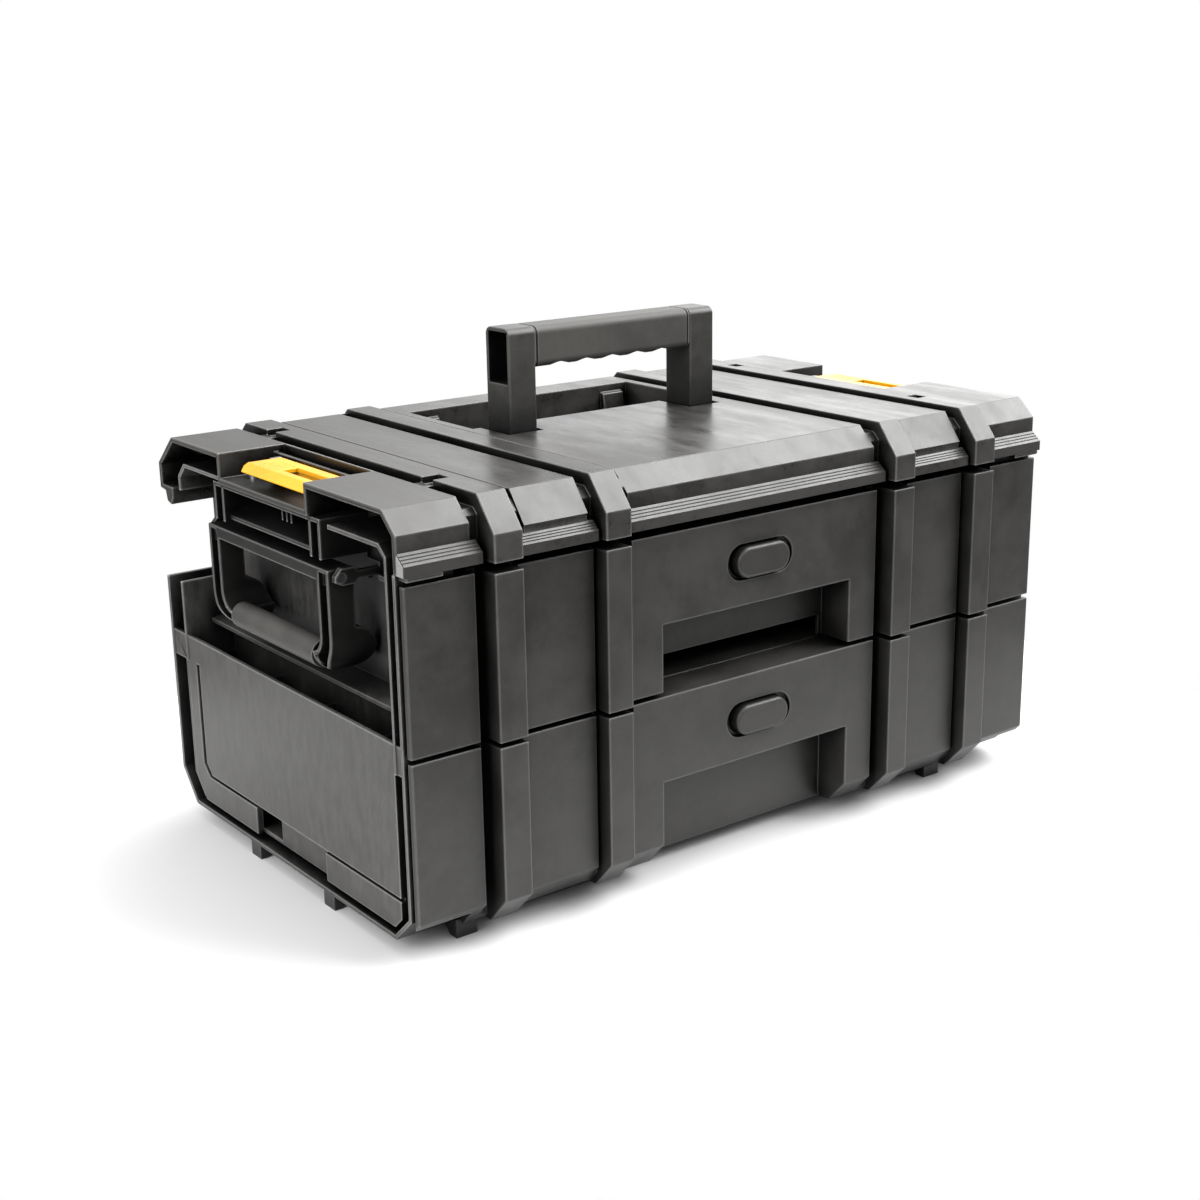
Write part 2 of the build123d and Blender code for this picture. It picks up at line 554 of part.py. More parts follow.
def side_handle():
    """The left carry handle: two channelled arms, a top bar and the bar in the grip."""
    half = BAIL_HALF_WIDTH
    inner = half - BAIL_ARM
    middle = (HARDWARE_Y, HARDWARE_Y)
    outer_face = bail_outline(half, BAIL_Z[0], BAIL_Z[1], BAIL_CORNER)
    inner_face = bail_outline(
        inner, BAIL_Z[0] + BAIL_ARM, BAIL_Z[1] - BAIL_TOP_BAR, BAIL_CORNER - BAIL_ARM
    )
    ring = Pos(-BAIL_X[1], HARDWARE_Y, 0) * (Plane.YZ * (outer_face - inner_face))
    bail = extrude(ring, amount=2 * BAIL_HEEL_RADIUS, dir=(1, 0, 0))
    bail = bail & arm_section(grown(middle, half + OVERCUT))
    bar_x = grown((-BAIL_X[1], -BAIL_X[1] + 2 * BAIL_HEEL_RADIUS), OVERCUT)
    bar_z = (BAIL_Z[0] - OVERCUT, BAIL_Z[0] + BAIL_ARM + OVERCUT)
    bail -= block(bar_x, grown(middle, SIDE_GRIP_HALF), bar_z)
    bail -= arm_channels(BAIL_CHANNEL_DEPTH, EAR_Z[0] - THIN_WALL)
    bail -= arm_channels(BAIL_CHANNEL_SHALLOW, BAIL_Z[1] - BAIL_CHANNEL_WALL)
    core_y = grown(middle, SIDE_GRIP_HALF + BAIL_CHANNEL_WALL)
    bail += rod_y(-SIDE_GRIP_X, core_y, SIDE_GRIP_Z, SIDE_CORE_RADIUS)
    for side in (-1, 1):
        tip = HARDWARE_Y + side * half
        bore = sorted((tip + side * OVERCUT, tip - side * BAIL_PIN_DEPTH))
        bail -= rod_y(-BAIL_AXIS_X, bore, BAIL_AXIS_Z, BAIL_PIN_RADIUS + PIN_FIT)
    return bail


def side_grip():
    """The soft sleeve round the bar of the left carry handle."""
    span = grown((HARDWARE_Y, HARDWARE_Y), SIDE_GRIP_HALF)
    sleeve = rod_y(-SIDE_GRIP_X, span, SIDE_GRIP_Z, SIDE_GRIP_RADIUS)
    return sleeve - rod_y(-SIDE_GRIP_X, grown(span, OVERCUT), SIDE_GRIP_Z, SIDE_CORE_RADIUS)


def side_handle_pins():
    """The two pins that carry the left side handle."""
    start = BAIL_HALF_WIDTH - BAIL_PIN_DEPTH + OVERCUT
    pins = []
    for side in (-1, 1):
        span = sorted((HARDWARE_Y + side * start, HARDWARE_Y + side * EAR_OUTER))
        pins.append(rod_y(-BAIL_AXIS_X, span, BAIL_AXIS_Z, BAIL_PIN_RADIUS))
    return Compound(children=pins)


def latch():
    """The left latch: a bevelled flap with a window, hinged along its inner edge."""
    top = LATCH_TOP_Z
    under = top - LATCH_WALL
    face = -LATCH_FACE_X
    inner = -LATCH_AXIS_X + LATCH_BARREL
    barrel_bottom = LATCH_AXIS_Z - LATCH_AXIS_DROP
    outline = (
        (face, LATCH_BOTTOM_Z),
        (face, LATCH_BOTTOM_Z + LATCH_EDGE),
        (face + LATCH_BEVEL, top),
        (inner - LATCH_ROUND, top),
        (inner, top - LATCH_ROUND),
        (inner, barrel_bottom),
        (inner - 2 * LATCH_BARREL, barrel_bottom),
        (inner - 2 * LATCH_BARREL, under),
        (face + LATCH_BEVEL + LATCH_ROUND, under),
        (face + LATCH_WALL, LATCH_BOTTOM_Z),
    )
    flap = along_y(outline, LATCH_Y)
    window_x = (-LATCH_WINDOW_X[1], -LATCH_WINDOW_X[0])
    all_z = (LATCH_BOTTOM_Z - OVERCUT, top + OVERCUT)
    flap -= block(window_x, LATCH_WINDOW_Y, all_z)
    width, depth = LATCH_GRIP_LINE
    line_x = (face + LATCH_BEVEL + THIN_WALL, inner - 2 * LATCH_BARREL)
    for number in range(1, LATCH_GRIP_LINES + 1):
        y = LATCH_WINDOW_Y[1] + number * LATCH_GRIP_PITCH
        flap -= block(line_x, (y, y + width), (top - depth, all_z[1]))
    rear = LATCH_Y[1]
    tip = Plane.XY * make_face(
        Polyline(
            (face - OVERCUT, rear - LATCH_TIP - OVERCUT),
            (face + LATCH_TIP + OVERCUT, rear + OVERCUT),
            (face - OVERCUT, rear + OVERCUT),
            close=True,
        )
    )
    flap -= extrude(Pos(0, 0, all_z[0]) * tip, amount=all_z[1] - all_z[0])
    bore = LATCH_PIN_RADIUS + PIN_FIT
    return flap - rod_y(-LATCH_AXIS_X, grown(LATCH_Y, OVERCUT), LATCH_AXIS_Z, bore)


def latch_pin():
    """The pin of the left latch."""
    return rod_y(-LATCH_AXIS_X, LATCH_PIN_Y, LATCH_AXIS_Z, LATCH_PIN_RADIUS)


def lid_section(front_y, rear_y, chamfer, top_z):
    """The (y, z) outline of the lid over one panel or rib."""
    return (
        (front_y, LID_BOTTOM_Z),
        (front_y, top_z - chamfer[1]),
        (front_y + chamfer[0], top_z),
        (rear_y - REAR_CHAMFER[0], top_z),
        (rear_y, top_z - REAR_CHAMFER[1]),
        (rear_y, LID_BOTTOM_Z),
    )


def rear_hook():
    """The (y, z) outline of the hook under the rear edge of the lid's ends."""
    rear = LID_REAR_Y
    top = LID_BOTTOM_Z + OVERCUT
    depth, drop = REAR_HOOK
    return (
        (rear, top),
        (rear, LID_BOTTOM_Z - drop / 6),
        (rear - depth * 0.4, LID_BOTTOM_Z - drop / 4),
        (rear - depth * 0.5, LID_BOTTOM_Z - drop * 5 / 6),
        (rear - depth * 0.8, LID_BOTTOM_Z - drop),
        (rear - depth, LID_BOTTOM_Z - drop / 2),
        (rear - depth, top),
    )


def lip_outline(panel_y):
    """The (y, z) outline of the lip under a panel of the lid."""
    return (
        (LID_LIP_Y, LID_BOTTOM_Z),
        (LID_LIP_Y, LID_LIP_Z[0]),
        (panel_y, LID_LIP_Z[1]),
        (panel_y + SKIN, LID_LIP_Z[1]),
        (panel_y + SKIN, LID_BOTTOM_Z),
    )


def lid_body():
    """The solid outline of the lid with its lip, ribs and the deeper bays between them."""
    whole = (-HALF_LENGTH, HALF_LENGTH)
    body = along_x(lid_section(LID_PANEL_Y, LID_REAR_Y, PANEL_CHAMFER, LID_TOP_Z), whole)
    body += along_x(lip_outline(LID_PANEL_Y), whole)
    bay = lid_section(PANEL_FRONT_Y, LID_REAR_Y, BAY_CHAMFER, LID_TOP_Z)
    rib = lid_section(RIB_FRONT_Y, REAR_Y, RIB_CHAMFER, RIB_TOP_Z)
    for side in (-1, 1):
        bay_x = sorted((side * INNER_RIB[1], side * OUTER_RIB[0]))
        body += along_x(bay, bay_x) + along_x(lip_outline(PANEL_FRONT_Y), bay_x)
        for limits in (INNER_RIB, OUTER_RIB):
            body += along_x(rib, sorted((side * limits[0], side * limits[1])))
    return body


def lid_hollow(x, y, drop=0.0):
    """The space under the lid between two pairs of limits, its top lowered by a drop."""
    front, rear = LID_HOLLOW_Y
    top = LID_TOP_Z - LID_SKIN
    space = (
        (front, LID_BOTTOM_Z - OVERCUT),
        (front, LID_TOP_Z - PANEL_CHAMFER[1] - OVERCUT),
        (front + PANEL_CHAMFER[0] - THIN_WALL, top),
        (rear - REAR_CHAMFER[0] + THIN_WALL, top),
        (rear, LID_TOP_Z - REAR_CHAMFER[1] - OVERCUT),
        (rear, LID_BOTTOM_Z - OVERCUT),
    )
    bounds = block(grown(x, OVERCUT), y, (LID_BOTTOM_Z - 2 * OVERCUT, top - drop))
    return along_x(space, x) & bounds


def bay_gaps(lid, side):
    """Cut the gaps between the bays of one half of the lid and the ribs beside them."""
    top = (PANEL_FRONT_Y + BAY_GAP_DEPTH, LID_REAR_Y, (BAY_GAP_DEPTH, BAY_GAP_DEPTH))
    kept = lid_section(*top, LID_TOP_Z - BAY_GAP_DEPTH)
    rear_y = LID_REAR_Y - REAR_CHAMFER[0]
    for gap in ((INNER_RIB[1], 1), (OUTER_RIB[0], -1)):
        line = sorted((side * gap[0], side * (gap[0] + gap[1] * BAY_END_GAP)))
        over_lip = (LID_LIP_Z[1], RIB_TOP_Z + OVERCUT)
        cut = block(line, (RIB_FRONT_Y - OVERCUT, rear_y), over_lip)
        lid -= cut - along_x(kept, line)
    for groove in BAY_GROOVES:
        line = sorted((side * groove[0], side * groove[1]))
        groove_y = (RIB_FRONT_Y - OVERCUT, PANEL_FRONT_Y + BAY_GAP_DEPTH)
        lid -= block(line, groove_y, (LID_BOTTOM_Z - OVERCUT, LID_LIP_Z[1] + OVERCUT))
    return lid


def top_grooves(lid, side):
    """Cut the grooves of one half of the lid, with the bridges across the outer one."""
    front_y = (RIB_FRONT_Y - OVERCUT, LID_HOLLOW_Y[0] - OVERCUT / 2)
    whole_y = (RIB_FRONT_Y - OVERCUT, REAR_Y + OVERCUT)
    all_z = (LID_BOTTOM_Z - OVERCUT, RIB_TOP_Z + OVERCUT)
    for groove, depth in zip((INNER_GROOVE, OUTER_GROOVE), GROOVE_FLOORS):
        line = sorted((side * groove[0], side * groove[1]))
        lid -= block(line, whole_y, (LID_TOP_Z - depth, all_z[1]))
        lid -= block(line, front_y, all_z)
    lid = bay_gaps(lid, side)
    for bridge in BRIDGES_Y:
        span = sorted((side * OUTER_GROOVE[0], side * OUTER_GROOVE[1]))
        bridge_z = (LID_TOP_Z - GROOVE_FLOORS[1] - OVERCUT, LID_TOP_Z - BRIDGE_DROP)
        lid += block(span, bridge, bridge_z)
        pocket = sorted((side * OUTER_GROOVE[0], side * (OUTER_GROOVE[0] - BRIDGE_POCKET[0])))
        pocket_y = grown(bridge, -BRIDGE_MARGIN)
        lid -= block(pocket, pocket_y, (RIB_TOP_Z - BRIDGE_POCKET[1], all_z[1]))
    return lid


def latch_seat(lid, side):
    """Cut one latch pocket into the lid and add the ridge and ear in it."""
    top_z = RIB_TOP_Z + OVERCUT
    pocket = sorted((side * LATCH_POCKET_X, side * (HALF_LENGTH + OVERCUT)))
    lid -= block(pocket, LATCH_POCKET_Y, (LATCH_FLOOR_Z, top_z))
    ridge = sorted(side * x for x in LATCH_RIDGE_X)
    lid += block(ridge, LATCH_POCKET_Y, (LATCH_FLOOR_Z, LATCH_RIDGE_TOP_Z))
    ear = sorted(side * x for x in grown((LATCH_AXIS_X, LATCH_AXIS_X), LATCH_BARREL))
    ear_y = (LATCH_PIN_Y[1] - LATCH_EAR, LATCH_PIN_Y[1])
    lid += block(ear, ear_y, (LATCH_FLOOR_Z, LATCH_AXIS_Z + LATCH_AXIS_DROP))
    lid -= rod_y(side * LATCH_AXIS_X, LATCH_PIN_Y, LATCH_AXIS_Z, LATCH_PIN_RADIUS)
    for y in LID_SCREWS_Y:
        hole_z = (WALL_TOP_Z - OVERCUT, LATCH_FLOOR_Z + OVERCUT)
        lid -= rod_z(side * LID_SCREW_X, y, hole_z, SCREW_RADIUS)
    return lid


def lid_end(lid, side):
    """Hollow one end of the lid and add the tab and the hook under it."""
    end = sorted((side * WALL_INNER_X, side * (HALF_LENGTH + OVERCUT)))
    inner = sorted((side * (LATCH_POCKET_X + SKIN), side * (HALF_LENGTH + OVERCUT)))
    lid -= lid_hollow(inner, (LID_HOLLOW_Y[0], LATCH_POCKET_Y[0] - SKIN))
    lid -= lid_hollow(inner, (LATCH_POCKET_Y[1] + SKIN, LID_HOLLOW_Y[1]))
    lid -= block(end, LID_HOLLOW_Y, (LID_BOTTOM_Z - OVERCUT, WALL_TOP_Z))
    lid = latch_seat(lid, side)
    lid = top_grooves(lid, side)
    tab_x = sorted(side * x for x in LIP_TAB_X)
    tab_z = (LID_BOTTOM_Z - LIP_TAB_DROP, LID_BOTTOM_Z + OVERCUT)
    lid += block(tab_x, (LID_LIP_Y, END_FRONT_Y), tab_z)
    return lid + along_x(rear_hook(), sorted((side * REAR_HOOK_X, side * HALF_LENGTH)))


def recess_end(lid, side):
    """Cut the bay of one post of the top handle, with its pin hole and its stop."""
    top_z = RIB_TOP_Z + OVERCUT
    bay = sorted(side * x for x in POST_BAY_X)
    lid -= block(bay, (POST_BAY_Y, RECESS_Y[0] + OVERCUT), (RECESS_FLOOR_Z, top_z))
    pin = sorted(side * x for x in grown(POST_BAY_X, LID_WEB))
    lid -= rod_x(pin, HANDLE_AXIS_Y, HANDLE_AXIS_Z, HANDLE_PIN_RADIUS)
    rear = RECESS_Y[1]
    stop_top = LID_TOP_Z - HANDLE_STOP_DROP
    stop = (
        (rear, stop_top),
        (rear - HANDLE_STOP_DEPTH[0], stop_top - OVERCUT),
        (rear - HANDLE_STOP_DEPTH[1], RECESS_FLOOR_Z),
        (rear, RECESS_FLOOR_Z),
    )
    return lid + along_x(stop, sorted(side * x for x in HANDLE_STOP_X))


def top_cover():
    """The lid, with the handle recess, the latch pockets and the strike."""
    lid = lid_body()
    everywhere = grown(LID_HOLLOW_Y, SKIN)
    centre = grown((0.0, 0.0), INNER_GROOVE[0] - LID_WEB / 2)
    lid -= lid_hollow(centre, everywhere)
    bay = (INNER_RIB[0] + LID_WEB, OUTER_RIB[1] - LID_WEB)
    for side in (-1, 1):
        lid -= lid_hollow(sorted(side * x for x in bay), everywhere, BAY_HOLLOW_DROP)
    # a clear way through the webs for the drawer releases and the end walls
    clear_x = grown((0.0, 0.0), FRONT_INNER_HALF)
    lid -= block(clear_x, LID_HOLLOW_Y, (LID_BOTTOM_Z - OVERCUT, LID_BOTTOM_Z + SKIN))
    for side in (-1, 1):
        lid = lid_end(lid, side)
    lid += handle_recess()
    recess_x = (-RECESS_HALF_X, RECESS_HALF_X)
    lid -= block(recess_x, RECESS_Y, (RECESS_FLOOR_Z, RIB_TOP_Z + OVERCUT))
    for side in (-1, 1):
        lid = recess_end(lid, side)
    return lid + strike(BUTTON_RISE_UPPER, LID_TOP_Z - LID_SKIN / 2)


def strike(rise, top_z):
    """The strike over a catch lever, down from what carries it."""
    y = LEVER_AXIS_Y - HOOK_REACH - STRIKE_GAP
    bottom = rise + LEVER_RISE + HOOK_RISE + STRIKE_CLEARANCE
    return block((-STRIKE_HALF, STRIKE_HALF), (y - SKIN, y), (bottom, top_z))


def handle_recess():
    """The walls and floor round the recess of the top handle."""
    floor_z = (RECESS_FLOOR_Z - SKIN, LID_TOP_Z - OVERCUT)
    around_y = grown(RECESS_Y, SKIN)
    shell = block(grown((-RECESS_HALF_X, RECESS_HALF_X), SKIN), around_y, floor_z)
    for side in (-1, 1):
        bay = sorted(side * x for x in grown(POST_BAY_X, LID_WEB))
        shell += block(bay, (POST_BAY_Y - SKIN, RECESS_Y[0]), floor_z)
    return shell


def top_handle_frame():
    """The top handle: two hollow posts joined by the bar inside the grip."""
    half = HANDLE_POST_DEPTH / 2
    y = HANDLE_AXIS_Y
    top = HANDLE_TOP_Z
    cut, small = HANDLE_POST_ROUND
    post_yz = (
        (y - half, HANDLE_AXIS_Z),
        (y - half, top - cut),
        (y - half + small, top - small),
        (y - half + cut, top),
        (y + half - cut, top),
        (y + half - small, top - small),
        (y + half, top - cut),
        (y + half, HANDLE_AXIS_Z),
    )
    core_z = top - GRIP_HEIGHT / 2
    frame = block(
        (-HANDLE_POST_X[0], HANDLE_POST_X[0]),
        grown((y, y), GRIP_CORE / 2),
        grown((core_z, core_z), GRIP_CORE / 2),
    )
    for side in (-1, 1):
        span = sorted(side * x for x in HANDLE_POST_X)
        post = along_x(post_yz, span)
        post += rod_x(span, y, HANDLE_AXIS_Z, half)
        pocket = sorted((side * (HANDLE_POST_X[0] + POST_WEB), side * (HANDLE_POST_X[1] + OVERCUT)))
        post -= block(pocket, grown((y, y), half - SKIN), (top - POST_HOLLOW, top - SKIN))
        bore = HANDLE_PIN_RADIUS + PIN_FIT
        frame += post - rod_x(grown(span, OVERCUT), y, HANDLE_AXIS_Z, bore)
    return frame


def top_handle_grip():
    """The grip sleeve of the top handle, scalloped underneath for the fingers."""
    core_z = HANDLE_TOP_Z - GRIP_HEIGHT / 2
    span = HANDLE_POST_X[0]
    across = grown((HANDLE_AXIS_Y, HANDLE_AXIS_Y), GRIP_DEPTH)
    section = RectangleRounded(GRIP_DEPTH, GRIP_HEIGHT, GRIP_ROUNDING)
    place = Pos(-span, HANDLE_AXIS_Y, core_z)
    sleeve = extrude(place * (Plane.YZ * section), amount=2 * span, dir=(1, 0, 0))
    sleeve -= block(
        grown((-span, span), OVERCUT),
        grown((HANDLE_AXIS_Y, HANDLE_AXIS_Y), GRIP_CORE / 2),
        grown((core_z, core_z), GRIP_CORE / 2),
    )
    bottom = HANDLE_TOP_Z - GRIP_HEIGHT
    pitch = 2 * (span - SCALLOP_MARGIN) / FINGER_SCALLOPS
    for number in range(FINGER_SCALLOPS):
        x = -span + SCALLOP_MARGIN + pitch * (number + 0.5)
        sleeve -= rod_y(x, across, bottom - SCALLOP_RADIUS + SCALLOP_DEPTH, SCALLOP_RADIUS)
    seam_depth = GRIP_SEAM[0]
    inner = RectangleRounded(
        GRIP_DEPTH - 2 * seam_depth, GRIP_HEIGHT - 2 * seam_depth, GRIP_ROUNDING - seam_depth
    )
    keep = extrude(place * (Plane.YZ * inner), amount=2 * span, dir=(1, 0, 0))
    for side in (-1, 1):
        seam = sorted(side * (span - x) for x in GRIP_SEAM)
        ring = block(seam, across, grown((bottom, HANDLE_TOP_Z), OVERCUT))
        sleeve -= ring - keep
    return sleeve


def top_handle_pins():
    """The two pivot pins of the top handle."""
    pins = []
    for side in (-1, 1):
        span = sorted(side * x for x in grown(POST_BAY_X, LID_WEB))
        pins.append(rod_x(span, HANDLE_AXIS_Y, HANDLE_AXIS_Z, HANDLE_PIN_RADIUS))
    return Compound(children=pins)


def floor():
    """The floor of the housing with its side flanges and the lugs under it."""
    inner = (-WALL_INNER_X, WALL_INNER_X)
    floor_z = (RIM_BOTTOM_Z, RIM_BOTTOM_Z + FLOOR_THICKNESS)
    flange_x = (WALL_INNER_X - SKIN, WALL_INNER_X)
    tray = block(inner, (FLOOR_FRONT_Y, BACK_FRONT_Y), floor_z)
    notch_half = GRIP_OPENING_HALF + SKIN + FRONT_GAP
    notch_y = (FLOOR_FRONT_Y - OVERCUT, GRIP_BACK_Y + SKIN + FRONT_GAP)
    tray -= block((-notch_half, notch_half), notch_y, grown(floor_z, OVERCUT))
    tray += both_sides(flange_x, FLOOR_FLANGE_Y, (RIM_BOTTOM_Z, FLOOR_FLANGE_TOP_Z))
    for x in FLOOR_LUGS_X:
        for y in (FLOOR_FRONT_Y, REAR_LUG_Y):
            lug = (
                (y, floor_z[1]),
                (y, 0),
                (y + FLOOR_LUG_DEPTH / 2, 0),
                (y + FLOOR_LUG_DEPTH, RIM_BOTTOM_Z),
                (y + FLOOR_LUG_DEPTH, floor_z[1]),
            )
            tray += along_x(lug, grown((x, x), FLOOR_LUG_WIDTH / 2))
    for side in (-1, 1):
        for y in BASE_SCREWS_Y:
            hole = sorted(side * x for x in grown(flange_x, OVERCUT))
            tray -= rod_x(hole, y, BASE_SCREW_Z, SCREW_RADIUS)
    return tray


def back_panel():
    """The back wall between the end frames, ribbed like the front."""
    z = (RIM_BOTTOM_Z, LID_BOTTOM_Z)
    panel = block((-WALL_INNER_X, WALL_INNER_X), (BACK_FRONT_Y, BACK_REAR_Y), z)
    for limits in (INNER_RIB, OUTER_RIB):
        panel += both_sides(limits, (BACK_REAR_Y, REAR_Y), z)
    return panel


def middle_shelf():
    """The shelf between the drawers, with the strike of the lower one."""
    shelf = block((-WALL_INNER_X, WALL_INNER_X), (SHELF_FRONT_Y, BACK_FRONT_Y), SHELF_Z)
    return shelf + strike(BUTTON_RISE_LOWER, SHELF_Z[1])


def screw_x(tip, head, y, z):
    """A screw along X with its head beyond the head face."""
    away = 1 if head > tip else -1
    shank = rod_x(sorted((tip, head)), y, z, SCREW_RADIUS)
    return shank + rod_x(sorted((head, head + away * SCREW_HEAD)), y, z, SCREW_HEAD_RADIUS)


def base_screws():
    """The screws from the end frames into the floor flanges."""
    screws = []
    for side in (-1, 1):
        for y in BASE_SCREWS_Y:
            tip = side * (WALL_INNER_X - SKIN)
            screws.append(screw_x(tip, side * WALL_OUTER_X, y, BASE_SCREW_Z))
    return Compound(children=screws)


def lid_screws():
    """The screws in the floors of the latch pockets."""
    screws = []
    for side in (-1, 1):
        for y in LID_SCREWS_Y:
            x = side * LID_SCREW_X
            shank = rod_z(x, y, (WALL_TOP_Z - SKIN, LATCH_FLOOR_Z), SCREW_RADIUS)
            head = rod_z(x, y, (LATCH_FLOOR_Z, LATCH_FLOOR_Z + SCREW_HEAD), SCREW_HEAD_RADIUS)
            screws.append(shank + head)
    return Compound(children=screws)


def front_outline(front_y, foot, bottom, top):
    """The (y, z) outline of a drawer front, with or without a sloping foot."""
    if foot is None:
        return ((front_y, top), (front_y, bottom), (FRONT_BACK_Y, bottom), (FRONT_BACK_Y, top))
    return (
        (front_y, top),
        (front_y, bottom + foot[1]),
        (front_y + foot[0], bottom),
        (FRONT_BACK_Y, bottom),
        (FRONT_BACK_Y, top),
    )


def drawer_front(z, lower):
    """A drawer front: panels, ribs, grooves, grip opening and button well."""
    bottom, top = z
    past_z = grown(z, OVERCUT)
    panel = front_outline(PANEL_FRONT_Y, PANEL_FOOT if lower else None, bottom, top)
    rib_bottom = bottom + RIB_LIFT if lower else bottom
    rib = front_outline(RIB_FRONT_Y, RIB_FOOT if lower else None, rib_bottom, top)
    front = along_x(panel, (-FRONT_HALF_LENGTH, FRONT_HALF_LENGTH))
    end_y = (END_FRONT_Y - FRONT_GAP, FRONT_BACK_Y + OVERCUT)
    front -= both_sides((FRONT_INNER_HALF, HALF_LENGTH), end_y, past_z)
    for limits in (INNER_RIB, OUTER_RIB):
        piece = along_x(rib, limits)
        front += piece + other_side(piece)
    for limits in (INNER_GROOVE, OUTER_GROOVE):
        groove_y = (RIB_FRONT_Y - OVERCUT, PANEL_FRONT_Y + GROOVE_DEPTH)
        front -= both_sides(limits, groove_y, past_z)
    for limits in BAY_GROOVES:
        groove_y = (RIB_FRONT_Y - OVERCUT, PANEL_FRONT_Y + BAY_GAP_DEPTH)
        front -= both_sides(limits, groove_y, past_z)
    opening_top = LOWER_OPENING_TOP_Z if lower else bottom + GRIP_OPENING_HEIGHT
    half = GRIP_OPENING_HALF
    shell_y = (FRONT_BACK_Y, GRIP_BACK_Y + SKIN)
    front += block((-half - SKIN, half + SKIN), shell_y, (bottom, opening_top + SKIN))
    opening_y = (RIB_FRONT_Y - OVERCUT, GRIP_BACK_Y)
    front -= block((-half, half), opening_y, (past_z[0], opening_top))
    if lower:
        shelf_half = INNER_GROOVE[0] - SKIN
        front += block((-shelf_half, shelf_half), shell_y, (top - SKIN, top))
    else:
        edge_x = (-half + SKIN, half - SKIN)
        edge_y = grown((GRIP_BACK_Y, shell_y[1]), OVERCUT)
        front -= block(edge_x, edge_y, (past_z[0], PULL_EDGE_Z))
    rise = BUTTON_RISE_LOWER if lower else BUTTON_RISE_UPPER
    front -= pill_y(BUTTON_WELL, (RIB_FRONT_Y, PANEL_FRONT_Y + BUTTON_WELL_DEPTH), rise)
    way = (BUTTON_SIZE[0] + 2 * RUNNING_FIT, BUTTON_SIZE[1] + 2 * RUNNING_FIT)
    front -= pill_y(way, (RIB_FRONT_Y, FRONT_BACK_Y + OVERCUT), rise)
    hole_y = (FRONT_BACK_Y - FRONT_SCREW_DEPTH, FRONT_BACK_Y + OVERCUT)
    for x, screw_z in front_screw_places(z):
        front -= rod_y(x, hole_y, screw_z, SCREW_RADIUS)
    return front


def front_screw_places(z):
    """Where the screws of a drawer front stand, as (x, z)."""
    heights = grown(z, -FRONT_SCREW_MARGIN)
    return [(side * FRONT_SCREW_X, height) for side in (-1, 1) for height in heights]


def front_screws(z):
    """The screws from a drawer tray into its front."""
    screws = []
    back = FRONT_BACK_Y + TRAY_WALL
    for x, height in front_screw_places(z):
        shank = rod_y(x, (FRONT_BACK_Y - FRONT_SCREW_DEPTH, back), height, SCREW_RADIUS)
        screws.append(shank + rod_y(x, (back, back + SCREW_HEAD), height, SCREW_HEAD_RADIUS))
    return Compound(children=screws)


def tray(z, front_z):
    """A drawer tray whose sides run forward to the drawer front."""
    wall = TRAY_WALL
    half = TRAY_HALF
    box = block((-half, half), TRAY_Y, z)
    box -= block((-half + wall, half - wall), grown(TRAY_Y, -wall), (z[0] + wall, z[1] + OVERCUT))
    box += both_sides((half - wall, half), (FRONT_BACK_Y, TRAY_Y[0] + OVERCUT), z)
    flange_y = (FRONT_BACK_Y, FRONT_BACK_Y + wall)
    box += both_sides((half - TRAY_FLANGE, half), flange_y, z)
    for x, height in front_screw_places(front_z):
        box -= rod_y(x, grown(flange_y, OVERCUT), height, SCREW_RADIUS)
    return box


def channel(x, flange, half, middle_z, y):
    """A slide channel: a web at the first X with flanges towards the second."""
    metal = SLIDE_METAL
    web_x, open_x = x
    away = 1 if open_x > web_x else -1
    web_back = web_x + away * metal
    tip_x = web_x + away * flange
    outline = (
        (web_x, middle_z - half),
        (web_x, middle_z + half),
        (tip_x, middle_z + half),
        (tip_x, middle_z + half - metal),
        (web_back, middle_z + half - metal),
        (web_back, middle_z - half + metal),
        (tip_x, middle_z - half + metal),
        (tip_x, middle_z - half),
    )
    return along_y(outline, y)


def slide_members(middle_z):
    """The left outer, middle and inner members of one drawer slide."""
    wall_x = -WALL_INNER_X
    tray_x = -TRAY_HALF
    nest = SLIDE_METAL + SLIDE_PLAY
    outer = channel((wall_x, 0), OUTER_FLANGE, SLIDE_HALF_HEIGHT, middle_z, OUTER_SLIDE_Y)
    middle_x = wall_x + nest
    middle_half = SLIDE_HALF_HEIGHT - nest
    middle = channel((middle_x, 0), MIDDLE_FLANGE, middle_half, middle_z, OUTER_SLIDE_Y)
    inner_half = middle_half - nest
    inner = channel((tray_x, wall_x), INNER_FLANGE, inner_half, middle_z, INNER_SLIDE_Y)
    return outer, middle, inner


def button(rise):
    """A release button: pill face, flange behind the front and push rod."""
    flange_y = FRONT_BACK_Y + RUNNING_FIT
    face = pill_y(BUTTON_SIZE, (BUTTON_FRONT_Y, flange_y), rise)
    edge = face.edges().filter_by(lambda e: abs(e.center().Y - BUTTON_FRONT_Y) < PIN_FIT)
    face = fillet(edge, BUTTON_ROUND)
    brim = (BUTTON_SIZE[0] + 2 * BUTTON_FLANGE, BUTTON_SIZE[1] + 2 * BUTTON_FLANGE)
    face += pill_y(brim, (flange_y, flange_y + BUTTON_FLANGE_DEPTH), rise)
    nose_radius, nose_length = ROD_NOSE
    face += rod_y(0, (flange_y, ROD_END_Y - nose_length), rise, ROD_RADIUS)
    return face + rod_y(0, (ROD_END_Y - nose_length, ROD_END_Y), rise, nose_radius)


